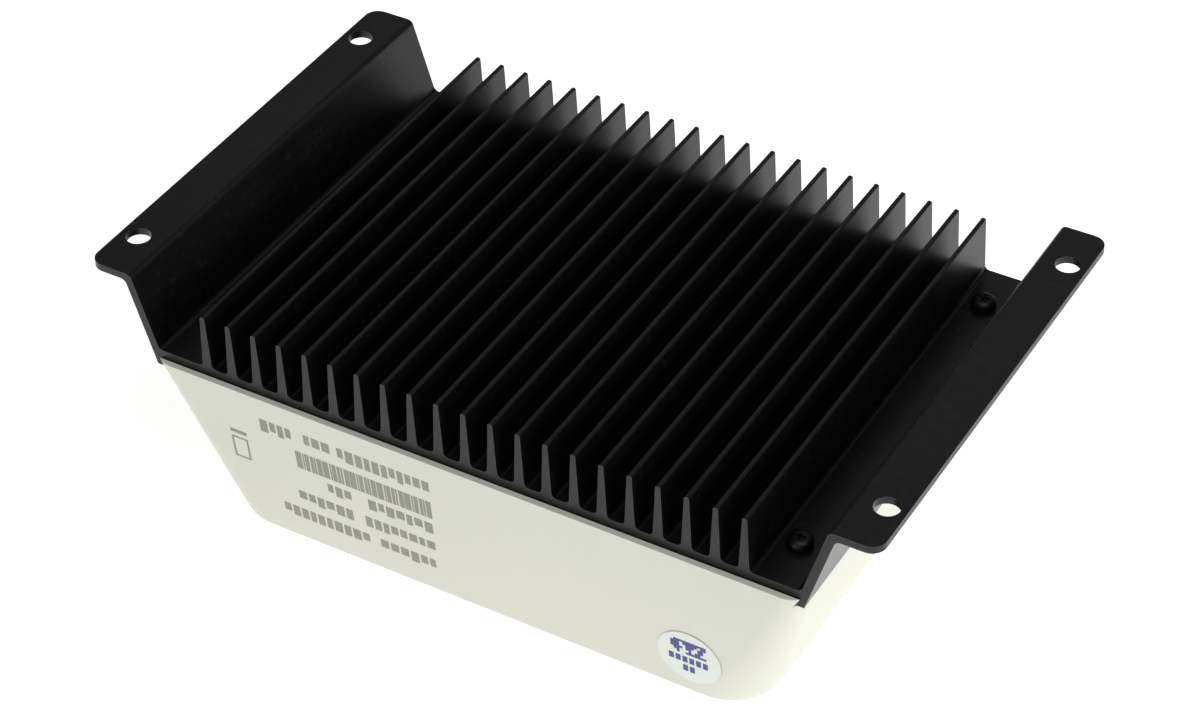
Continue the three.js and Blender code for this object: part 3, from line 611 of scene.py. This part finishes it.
front_case = drafted_block("drafted_front_case", 0, RIM_TOP)
with Bench(front_case) as bench:
    bench.edges(lambda a, b: near(a.z, 0) and near(b.z, 0))
    bench.round_off(1.2, 4)
    bench.slice((0, 0, CASE_RIM - 0.8), (0, 0, 1))
room = drafted_block("case_room", FRONT_WALL, RIM_TOP + 1, CASE_WALL)
notch_y = SINK_HALF + 0.2
notch = add_box("rim_notch", (-FLANGE_EDGE, -notch_y, CASE_RIM), (FLANGE_EDGE, notch_y, RIM_TOP + 1))
carve(front_case, [room])
carve(front_case, [notch])
print("hollow case has", len(front_case.data.polygons), "faces")


# %% Cut the openings
def round_tool(low, high, radius, axis="Z", segments=5):
    """A cutting block whose edges along one axis are rounded."""
    tool = add_box("tool", low, high)
    along = "XYZ".index(axis)
    with Bench(tool) as bench:
        bench.edges(lambda a, b: not near(a[along], b[along]))
        bench.round_off(radius, segments)
    return tool


def opening(x, y, width, length, depth, radius):
    """A tool for a rounded opening in the front face."""
    return round_tool((x - width / 2, y - length / 2, -1), (x + width / 2, y + length / 2, depth), radius)


window_low, window_high = in_mm("display_window")
window_x, window_y = (window_low.x + window_high.x) / 2, (window_low.y + window_high.y) / 2
window_width, window_length = window_high.x - window_low.x, window_high.y - window_low.y
THROUGH = FRONT_WALL + 1
PANE_LEDGE = 3.5

tools = [
    opening(window_x, window_y, window_width + 0.6, window_length + 0.6, window_high.z + 0.2, 2),
    opening(window_x, window_y, window_width - 2 * PANE_LEDGE, window_length - 2 * PANE_LEDGE, THROUGH, 1),
]
for node in ("menu_button", "ok_button"):
    place = middle_of(node)
    tools.append(add_rod("tool", (place.x, place.y, -1), 5.3, THROUGH + 1, sides=48))
for node in ("charge_lamp", "battery_lamp", "load_lamp"):
    place = middle_of(node)
    tools.append(add_rod("tool", (place.x, place.y, -1), 1.8, THROUGH + 1, sides=32))
for node in ("usb_socket_1", "usb_socket_2"):
    low, high = in_mm(node)
    place = (low + high) / 2
    tools.append(opening(place.x, place.y, high.x - low.x + 0.6, high.y - low.y + 0.6, THROUGH, 0.5))
poles = [f"{name}_{sign}" for name in ("solar", "battery", "load") for sign in ("plus", "minus")]
pole_x = [middle_of(f"{pole}_screw").x for pole in poles]
POLE_Y = middle_of(f"{poles[0]}_screw").y
ACCESS = 3.8
slot_length = pole_x[-1] - pole_x[0] + 2 * ACCESS
tools.append(opening(0, POLE_Y, slot_length, 2 * ACCESS, THROUGH, ACCESS - 0.1))
entry_half = pole_x[-1] + 5.9
ENTRY_LOW, ENTRY_HIGH = 19.3, 30.3
block_high = in_mm("solar_terminal_block")[1]
wire_opening = round_tool(
    (-entry_half, block_high.y + 0.15, ENTRY_LOW), (entry_half, case_high.y + 1, ENTRY_HIGH), 2, "Y"
)
tools.append(wire_opening)
sensor_low, sensor_high = in_mm("sensor_socket")
SENSOR_WALL = 0.9
tools.append(
    add_box(
        "tool",
        (case_low.x - 1, sensor_low.y + SENSOR_WALL, sensor_low.z + SENSOR_WALL),
        (sensor_low.x - 0.15, sensor_high.y - SENSOR_WALL, sensor_high.z - SENSOR_WALL),
    )
)
for tool in tools:
    carve(front_case, [tool])
soften(front_case, 0.2)
fit(front_case, "cream_plastic", "housing", "front_case")

# %% [markdown]
# ## The other finishes
#
# Most small pieces are moulded plastic or plated metal, so two recipes make them: `moulded` has a fine grain
# and a faint cloud in its colour, and `plated` has the hairlines and the dulled patches of a plated part. The
# board, the ferrite, the panes, the sticker's paper and the inks have their own.


# %% Recipes for plastic and plated metal
def shades(colour, spread):
    """A darker and a lighter shade of a colour."""
    return [tuple(channel * (1 + side * spread) for channel in colour) + (1,) for side in (-1, 1)]


def moulded(name, colour, roughness=0.45, spread=0.08, **fixed):
    f = Finish(name, colour, roughness, **fixed)
    dark, light = shades(colour, spread)
    grain = f.noise(2400, 3.0)
    f.set("Base Color", f.mix(f.noise(70, 3.0), dark, light))
    f.set("Roughness", roughness - 0.05 + 0.1 * grain)
    f.bump(grain, 0.00002, 0.6)
    return f.material


def plated(name, colour, roughness=0.3, spread=0.12):
    f = Finish(name, colour, roughness, metallic=1.0)
    dark, light = shades(colour, spread)
    hairlines = f.noise(1.0, 3.0, f.stretched(300, 300, 5200))
    patches = f.noise(160, 4.0)
    edges = f.sharp_edge_mask(0.0002)
    f.set("Base Color", f.mix(patches * (1 - edges), light, dark))
    f.set("Roughness", roughness + 0.14 * hairlines + 0.1 * patches - 0.08 * edges)
    f.bump(hairlines, 0.00001, 0.5)
    return f.material


def lens(name, colour):
    f = Finish(name, colour, 0.12, Transmission_Weight=0.35, IOR=1.5, Subsurface_Weight=0.3)
    dark, light = shades(colour, 0.2)
    f.set("Base Color", f.mix(f.noise(600, 2.0), dark, light))
    f.set("Roughness", 0.1 + 0.08 * f.noise(1800))
    return f.material


paint["black_steel"] = plated("black_zinc_steel", (0.035, 0.035, 0.037), 0.34, 0.3)
paint["plated_steel"] = plated("zinc_plated_steel", (0.56, 0.57, 0.60), 0.28)
paint["nickel"] = plated("bright_nickel", (0.66, 0.63, 0.58), 0.2)
paint["tinned_brass"] = plated("tinned_brass", (0.62, 0.55, 0.36), 0.32)
paint["black_plastic"] = moulded("black_plastic", (0.011, 0.011, 0.012), 0.42)
paint["white_plastic"] = moulded("white_plastic", (0.78, 0.78, 0.75), 0.45, 0.03)
paint["green_plastic"] = moulded("green_plastic", (0.03, 0.27, 0.07), 0.42)
paint["grey_rubber"] = moulded("grey_rubber", (0.13, 0.14, 0.145), 0.62, 0.06, Sheen_Weight=0.15)
paint["silicone_pad"] = moulded("grey_silicone", (0.26, 0.27, 0.28), 0.75, 0.05)
paint["green_lens"] = lens("green_lens", (0.05, 0.5, 0.1))
paint["amber_lens"] = lens("amber_lens", (0.75, 0.32, 0.03))
paint["red_lens"] = lens("red_lens", (0.62, 0.05, 0.03))
print(len(paint), "finishes so far")


# %% The board, the ferrite, the panes, the paper and the inks
def circuit_board():
    f = Finish("green_solder_mask", (0.012, 0.10, 0.035), 0.3, Coat_Weight=0.4)
    weave = f.noise(1.0, 1.0, f.stretched(2400, 300, 2400)) + f.noise(1.0, 1.0, f.stretched(300, 2400, 2400))
    cells = f.node("ShaderNodeTexVoronoi", {"feature": "DISTANCE_TO_EDGE"}, {"Vector": f.place, "Scale": 230})
    traces = f.ramp(cells.out("Distance"), 0.05, 0.09)
    f.set("Base Color", f.mix(traces, (0.03, 0.17, 0.05, 1), (0.009, 0.075, 0.028, 1)))
    f.set("Roughness", 0.26 + 0.06 * weave)
    f.bump(weave * 0.2 - traces, 0.00003, 0.6)
    return f.material


def ferrite():
    f = Finish("coated_ferrite", (0.05, 0.19, 0.11), 0.55)
    speckle = f.ramp(f.noise(1400, 4.0), 0.45, 0.7)
    f.set("Base Color", f.mix(speckle, (0.035, 0.15, 0.085, 1), (0.075, 0.25, 0.15, 1)))
    f.set("Roughness", 0.5 + 0.12 * speckle)
    f.bump(f.noise(900, 4.0), 0.00008)
    return f.material


def clear_pane():
    f = Finish("clear_acrylic", (0.93, 0.96, 0.94), 0.05, Transmission_Weight=1.0, IOR=1.49)
    scuffs = f.ramp(f.noise(1.0, 4.0, f.stretched(90, 700, 90)), 0.62, 0.8)
    f.set("Roughness", 0.03 + 0.12 * scuffs)
    return f.material


def display_glass():
    f = Finish("display_glass", (0.27, 0.34, 0.26), 0.14, Coat_Weight=0.6)
    cloud = f.noise(40, 2.0)
    f.set("Base Color", f.mix(cloud, (0.25, 0.315, 0.24, 1), (0.29, 0.36, 0.28, 1)))
    f.set("Roughness", 0.1 + 0.08 * f.noise(500))
    return f.material


def sticker_paper():
    f = Finish("sticker_paper", (0.72, 0.77, 0.70), 0.38, Coat_Weight=0.25)
    fibres = f.noise(1.0, 3.0, f.stretched(2200, 900, 900))
    f.set("Base Color", f.mix(fibres, (0.66, 0.71, 0.64, 1), (0.74, 0.79, 0.72, 1)))
    f.set("Roughness", 0.34 + 0.1 * fibres)
    f.bump(fibres, 0.000012, 0.5)
    return f.material


def ink(name, colour):
    f = Finish(name, colour, 0.6)
    dark, light = shades(colour, 0.16)
    coverage = f.noise(1500, 3.0)
    f.set("Base Color", f.mix(coverage, dark, light))
    f.set("Roughness", 0.5 + 0.15 * coverage)
    return f.material


paint["board_green"] = circuit_board()
paint["ferrite"] = ferrite()
paint["clear_pane"] = clear_pane()
paint["display_glass"] = display_glass()
paint["sticker_paper"] = sticker_paper()
paint["grey_ink"] = ink("grey_ink", (0.27, 0.27, 0.225))
paint["violet_ink"] = ink("violet_ink", (0.075, 0.06, 0.27))
paint["dark_segment"] = ink("dark_segment", (0.07, 0.085, 0.065))
print(len(paint), "finishes")

# %% [markdown]
# ## Screws
#
# The case is held by four black pan-head screws with a cross recess, seated in the two outer channels. A head
# is a short rod whose top edge is rounded in a wide bevel. The shank is a thinner rod joined on below, and a
# tapered cross is cut into the head. One is modelled and the rest are copies with their own mesh.


# %% Model a pan-head screw
def cross_tool(place, reach, width, depth):
    """A cross that narrows downwards, to cut a recess."""
    arms = []
    for x, y in ((reach, width), (width, reach)):
        low = (place[0] - x, place[1] - y, place[2] - depth)
        arm = add_box("tool", low, (place[0] + x, place[1] + y, place[2] + 1))
        with Bench(arm) as bench:
            bench.corners(lambda p: near(p.z, low[2]))
            bench.size(0.55, 0.55, 1, about=(place[0], place[1], low[2]))
        arms.append(arm)
    return arms


def pan_screw(name, head_radius, head_height, shank_radius, length):
    """A screw seated on z = 0 with its shank downwards."""
    screw = add_rod(name, (0, 0, 0), head_radius, head_height, sides=48)
    with Bench(screw) as bench:
        bench.edges(lambda a, b: near(a.z, head_height) and near(b.z, head_height))
        bench.round_off(head_height * 0.72, 7)
    shank = add_rod("shank", (0, 0, -length), shank_radius, length + 0.2, sides=24)
    with Bench(shank) as bench:
        bench.faces(lambda c, n: n.z < -0.9)
        bench.extrude(z=-0.001)
        bench.size(0.6, 0.6, 1, about=(0, 0, -length))
    carve(screw, [shank], "UNION")
    for arm in cross_tool((0, 0, head_height), head_radius * 0.56, head_radius * 0.14, head_height * 0.62):
        carve(screw, [arm])
    soften(screw, 0.05)
    return screw


def copy_to(piece, name, x=0.0, y=0.0, z=0.0):
    """A copy with its own mesh, moved and settled."""
    made = bpy.data.objects.new(name, piece.data.copy())
    bpy.context.collection.objects.link(made)
    made.location = Vector((x, y, z)) * MM
    hold(made)
    bpy.ops.object.transform_apply(location=True, rotation=True, scale=True)
    return made


PAN_RADIUS, PAN_HEIGHT, CASE_SHANK_RADIUS, CASE_SHANK_LENGTH = 2.9, 2.1, 1.5, 12.3
case_screw = pan_screw("case_screw", PAN_RADIUS, PAN_HEIGHT, CASE_SHANK_RADIUS, CASE_SHANK_LENGTH)
for node in case_screws:
    place = middle_of(node)
    seat = in_mm(node)[1].z - PAN_HEIGHT
    screw = copy_to(case_screw, f"black_{node}", place.x, place.y, seat)
    fit(screw, "black_steel", "housing", node)
bpy.data.objects.remove(case_screw)

# %% [markdown]
# ## Rating print and sticker
#
# The plain long side carries a printed rating panel and a round inspection sticker. Both are drawn flat, as
# thin raised ink, and then leaned back with the wall. The words are plain bars, the code is plain stripes and
# the sticker has a patch of squares over two rows of bars, so nothing on it can be read.

# %% Lay bars on the long wall
WALL_LEAN = math.atan(LONG_DRAFT)
INK = 0.035


def bar(left, right, low, high, lift=0.0):
    """A bar of ink between two x and two heights up the wall."""
    return add_box("bar", (left, -INK - lift, low), (right, 0.02 - lift, high))


def lean_on_wall(piece):
    """Stands a flat drawing against the drafted long wall."""
    piece.rotation_euler = (WALL_LEAN, 0, 0)
    piece.location = (0, -long_wall(0) * MM, 0)
    hold(piece)
    bpy.ops.object.transform_apply(location=True, rotation=True, scale=True)
    return piece


def word(right, length, low, high, rng):
    """Blocks in place of the letters of one word, from its right end to the left."""
    blocks, x = [], right
    while x - right > 1.4 - length:
        width = rng.choice((1.5, 1.8, 2.1))
        width = min(width, length - (right - x))
        top = high if rng.random() < 0.45 else low + (high - low) * 0.76
        blocks.append(bar(x - width, x, high - (top - low), high))
        x -= width + 0.55
    return blocks


rng = random.Random(7)
print_rows = [
    (33.0, 36.9, ((-9.2, 24.0), (-35.0, 8.5), (-45.2, 9.6))),
    (20.0, 23.3, ((-9.9, 18.6), (-31.2, 7.9))),
    (13.8, 17.1, ((-10.0, 19.0), (-31.6, 15.0))),
    (7.7, 11.0, ((-10.6, 14.6), (-28.0, 24.6))),
]
bars = [
    block
    for low, high, words in print_rows
    for right, length in words
    for block in word(right, length, low, high, rng)
]
x = -9.5
for step in range(30):
    width = (1.3, 0.5, 0.8, 1.1, 0.4, 1.6)[step % 6]
    bars.append(bar(x - width, x, 25.1, 30.5))
    x -= width + (0.25, 0.15, 0.35, 0.2)[step % 4]
sign_left, sign_right = -62.4, -58.0
bars.append(bar(sign_left, sign_right, 28.9, 30.0))
for low, high in ((21.0, 21.5), (27.2, 27.7)):
    bars.append(bar(sign_left, sign_right, low, high))
for left in (sign_left, sign_right - 0.5):
    bars.append(bar(left, left + 0.5, 21.5, 27.2))
rating_print = lean_on_wall(join("rating_print", bars))
fit(rating_print, "grey_ink", "housing")

# %% Make the sticker and its print
sticker_low, sticker_high = in_mm("inspection_sticker")
STICKER_X = (sticker_low.x + sticker_high.x) / 2
STICKER_Z = (sticker_low.z + sticker_high.z) / 2 / math.cos(WALL_LEAN)
STICKER_RADIUS = 7.7
STICKER_TOP = 0.25

disc = add_rod("round_sticker", (STICKER_X, -STICKER_TOP, STICKER_Z), STICKER_RADIUS, 0.2, "Y", 72)
soften(disc, 0.05)
fit(lean_on_wall(disc), "sticker_paper", "housing", "inspection_sticker")

SQUARE, LETTER_STEP, LETTER_WIDTH, LETTER_HEIGHT = 0.72, 1.65, 1.2, 1.9
marks = []
for column in range(-6, 6):
    for row in range(6):
        if rng.random() < 0.6:
            left, low = STICKER_X + column * SQUARE, STICKER_Z + 0.9 + row * SQUARE
            if Vector((column + 0.5, row + 1.8)).length * SQUARE < 6.4:
                marks.append(bar(left, left + SQUARE * 0.94, low, low + SQUARE * 0.94, STICKER_TOP))
for count, low in ((6, -1.9), (2, -4.7)):
    for place in range(count):
        left = STICKER_X + (place - count / 2) * LETTER_STEP
        foot = STICKER_Z + low
        marks.append(bar(left, left + LETTER_WIDTH, foot, foot + LETTER_HEIGHT, STICKER_TOP))
sticker_print = lean_on_wall(join("sticker_print", marks))
fit(sticker_print, "violet_ink", "housing")

# %% [markdown]
# ## Window and display
#
# A clear pane sits in a shallow rebate of the front face, over a reflective display cell. The controller has
# no power here, so all segments show faintly at once, as they do on such a cell. Each is a thin bar.

# %% Model the pane and the segments
pane = round_tool(window_low, window_high, 1.7)
pane.name = pane.data.name = "window_pane"
soften(pane, 0.25, 3, 40)
fit(pane, "clear_pane", "housing", "display_window")

CELL_FRONT = in_mm("lcd_panel")[0].z
SEGMENT = 1.1


def segment(left, right, low, high):
    """A dark bar on the front of the display cell."""
    return add_box("segment", (left, low, CELL_FRONT - 0.05), (right, high, CELL_FRONT + 0.02))


def digit(x, y, width=6.0, height=12.0):
    """The seven segments of one digit, from its lowest corner."""
    t, gap, half = SEGMENT, 0.25, height / 2
    levels = (0, half - t / 2, height - t)
    flat = [segment(x + t + gap, x + width - t - gap, y + z, y + z + t) for z in levels]
    upright = [
        segment(x + side, x + side + t, y + z + gap, y + z + half - t / 2 - gap)
        for side in (0, width - t)
        for z in (t / 2, half)
    ]
    return flat + upright


DIGITS, DIGIT_STEP = 4, 8
BATTERY_WIDTH, BATTERY_LENGTH, BATTERY_LINE = 6, 9, 0.6
digits_left, digits_low = window_x - 12, window_y - 2
segments = [bar for place in range(DIGITS) for bar in digit(digits_left + place * DIGIT_STEP, digits_low)]
point_left, point_low = digits_left + 22.4, digits_low + 11
segments.append(segment(point_left, point_left + 1, point_low, point_low + 1))
left, low = window_x - 23, window_y - 1
right, high = left + BATTERY_WIDTH, low + BATTERY_LENGTH
for end in (low, high - BATTERY_LINE):
    segments.append(segment(left, right, end, end + BATTERY_LINE))
for side in (left, right - BATTERY_LINE):
    segments.append(segment(side, side + BATTERY_LINE, low + BATTERY_LINE, high - BATTERY_LINE))
segments.append(segment(left + 2, right - 2, low - 0.8, low))
for level in (1.3, 3.6, 5.9):
    segments.append(segment(left + 1.2, right - 1.2, low + level, low + level + 1.6))
for step in range(6):
    flag = left + step * 8
    segments.append(segment(flag, flag + 5, window_y - 9, window_y - 8.2))
fit(join("display_segments", segments), "dark_segment", "housing")

# %% [markdown]
# ## Buttons and lamps
#
# A button is a grey cap with a shallow dish for the fingertip, a flange that keeps it in the case and a stem
# that reaches its switch. It is drawn from one rod, ring by ring. A lamp is made the same way, with a dome.


# %% Model the buttons and the lamps
CAP_RADIUS, CAP_FLANGE, CAP_STEM = 5, 6.2, 1.6
LENS_RADIUS, LENS_FLANGE = 1.5, 1.9
FLANGE_HEIGHT = 1.0
BEHIND = FRONT_WALL + 0.3
LEG_SPACING, LEG_HALF = 2.54, 0.25


def ring_by_ring(bench, about, rings):
    """Draws the picked end of a rod on through rings of (radius before, radius after, length)."""
    for before, after, length in rings:
        bench.extrude(z=0.0001)
        bench.size(after / before, after / before, 1, about=about)
        bench.extrude(z=length)


def push_button(node, number):
    low, high = in_mm(node)
    middle = (low + high) / 2
    cap = add_rod(f"push_button_{number}", (middle.x, middle.y, low.z), CAP_RADIUS, BEHIND - low.z, sides=64)
    flange = (CAP_RADIUS, CAP_FLANGE, FLANGE_HEIGHT)
    stem = (CAP_FLANGE, CAP_STEM, high.z - BEHIND - FLANGE_HEIGHT)
    with Bench(cap) as bench:
        bench.faces(lambda c, n: n.z > 0.9)
        ring_by_ring(bench, middle, [flange, stem])
        bench.faces(lambda c, n: n.z < -0.9 and near(c.z, low.z))
        bpy.ops.mesh.inset(thickness=0.9 * MM)
        bpy.ops.mesh.inset(thickness=0.9 * MM)
        bench.move(z=0.22)
        bench.edges(
            lambda a, b: near(a.z, low.z) and near(b.z, low.z) and near((a - middle).xy.length, CAP_RADIUS)
        )
        bench.round_off(0.55, 5)
    soften(cap, 0.08)
    fit(cap, "grey_rubber", node, node)


push_button("menu_button", 1)
push_button("ok_button", 2)


def lamp(node, finish):
    low, high = in_mm(node)
    middle = (low + high) / 2
    lens_body = add_rod(f"{node}_lens", (middle.x, middle.y, low.z), LENS_RADIUS, BEHIND - low.z, sides=32)
    with Bench(lens_body) as bench:
        bench.faces(lambda c, n: n.z > 0.9)
        ring_by_ring(bench, middle, [(LENS_RADIUS, LENS_FLANGE, FLANGE_HEIGHT)])
        bench.edges(lambda a, b: near(a.z, low.z) and near(b.z, low.z))
        bench.round_off(1.3, 7)
    legs = []
    for side in (-1, 1):
        x = middle.x + side * LEG_SPACING / 2
        foot = (x - LEG_HALF, middle.y - LEG_HALF, BEHIND + 0.7)
        legs.append(add_box("leg", foot, (x + LEG_HALF, middle.y + LEG_HALF, high.z)))
    carve(lens_body, legs, "UNION")
    soften(lens_body, 0.03)
    fit(lens_body, finish, "housing", node)


lamp("charge_lamp", "green_lens")
lamp("battery_lamp", "amber_lens")
lamp("load_lamp", "red_lens")

# %% [markdown]
# ## Terminal screws
#
# Each pole has a slotted screw whose thread draws a cage forward on to the cable. The thread is drawn as
# rings at the pitch of the real one: the picked end of the shank goes out to the crest and back to the root,
# turn after turn.

# %% Model one terminal screw and copy it
first_low, first_high = in_mm(f"{poles[0]}_screw")
HEAD_RADIUS, SHANK_RADIUS, THREAD_ROOT, THREAD_PITCH = 3.5, 2.5, 2.1, 1.0
HEAD_HEIGHT, NECK = 3.0, 0.4
SLOT_HALF, SLOT_DEPTH = 0.55, 1.5
shank_length = first_high.z - first_low.z - HEAD_HEIGHT
terminal_screw = add_rod("terminal_screw", (0, 0, first_low.z), HEAD_RADIUS, HEAD_HEIGHT, sides=40)
with Bench(terminal_screw) as bench:
    bench.edges(lambda a, b: near(a.z, first_low.z) and near(b.z, first_low.z))
    bench.round_off(0.5, 3)
    bench.faces(lambda c, n: n.z > 0.9)
    ring_by_ring(bench, (0, 0, 0), [(HEAD_RADIUS, THREAD_ROOT, NECK)])
    turns = int((shank_length - 1.0) / THREAD_PITCH)
    for turn in range(turns):
        for before, after in ((THREAD_ROOT, SHANK_RADIUS), (SHANK_RADIUS, THREAD_ROOT)):
            bench.extrude(z=THREAD_PITCH * 0.42)
            bench.size(after / before, after / before, 1, about=(0, 0, 0))
            bench.extrude(z=THREAD_PITCH * 0.08)
    bench.extrude(z=shank_length - NECK - turns * THREAD_PITCH)
    bench.size(0.8, 0.8, 1, about=(0, 0, 0))
slot = add_box("tool", (-5, -SLOT_HALF, first_low.z - 1), (5, SLOT_HALF, first_low.z + SLOT_DEPTH))
carve(terminal_screw, [slot])
soften(terminal_screw, 0.06, 2, 50)
for pole, x in zip(poles, pole_x):
    screw = copy_to(terminal_screw, f"{pole}_clamp_screw", x, POLE_Y)
    fit(screw, "plated_steel", f"{pole}_screw", f"{pole}_screw")
bpy.data.objects.remove(terminal_screw)

# %% [markdown]
# ## Contacts of the USB sockets
#
# Each socket has a tongue with four contacts on the side that faces the plug.

# %% Lay the contacts on the tongues
contacts = [
    add_box("contact", (place.x - 0.12, y - 0.5, 2.6), (place.x + 0.05, y + 0.5, 10.5))
    for place in (middle_of("usb_socket_1"), middle_of("usb_socket_2"))
    for y in (place.y - 3.5, place.y - 1.0, place.y + 1.0, place.y + 3.5)
]
usb_contacts = join("usb_contacts", contacts)
soften(usb_contacts, 0.04)
fit(usb_contacts, "tinned_brass", "housing")

# %% [markdown]
# ## Pieces finished from the frame
#
# The remaining pieces are pressed, sawn or moulded to the CAD's own shape, so each is a copy of it. The
# copy's loose triangles are merged and its flat faces made whole, and then the edges get the small radius
# that the real piece leaves its tool with.


# %% Copy, merge and soften
def finished_copy(node, finish, body="housing", width=0.12):
    piece = bpy.data.objects.new(f"{node}_finished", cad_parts[node].data.copy())
    bpy.context.collection.objects.link(piece)
    with Bench(piece):
        bpy.ops.mesh.select_all(action="SELECT")
        bpy.ops.mesh.remove_doubles(threshold=0.002 * MM)
        bpy.ops.mesh.dissolve_limited(angle_limit=math.radians(1))
    soften(piece, width)
    return fit(piece, finish, body, node)


made_whole = {
    "black_plastic": ["menu_switch", "ok_switch", "board_header", "capacitor"]
    + [f"transistor_{number}" for number in (1, 2, 3, 4)]
    + [f"{name}_terminal_block" for name in ("solar", "battery", "load")],
    "white_plastic": ["lcd_holder", "lcd_backlight"],
    "display_glass": ["lcd_panel"],
    "nickel": ["usb_socket_1", "usb_socket_2"] + [f"board_standoff_{number}" for number in (1, 2, 3, 4)],
    "green_plastic": ["sensor_socket"],
    "board_green": ["main_board", "display_board"],
    "plated_steel": ["clamp_bar", "clamp_bar_screw_1", "clamp_bar_screw_2"],
    "silicone_pad": ["insulating_pad"],
    "ferrite": ["inductor"],
    "tinned_brass": [f"{pole}_bar" for pole in poles],
}
for finish, nodes in made_whole.items():
    for node in nodes:
        finished_copy(node, finish)
for pole in poles:
    finished_copy(f"{pole}_cage", "plated_steel", f"{pole}_cage", 0.35)

# %% [markdown]
# ## Finish
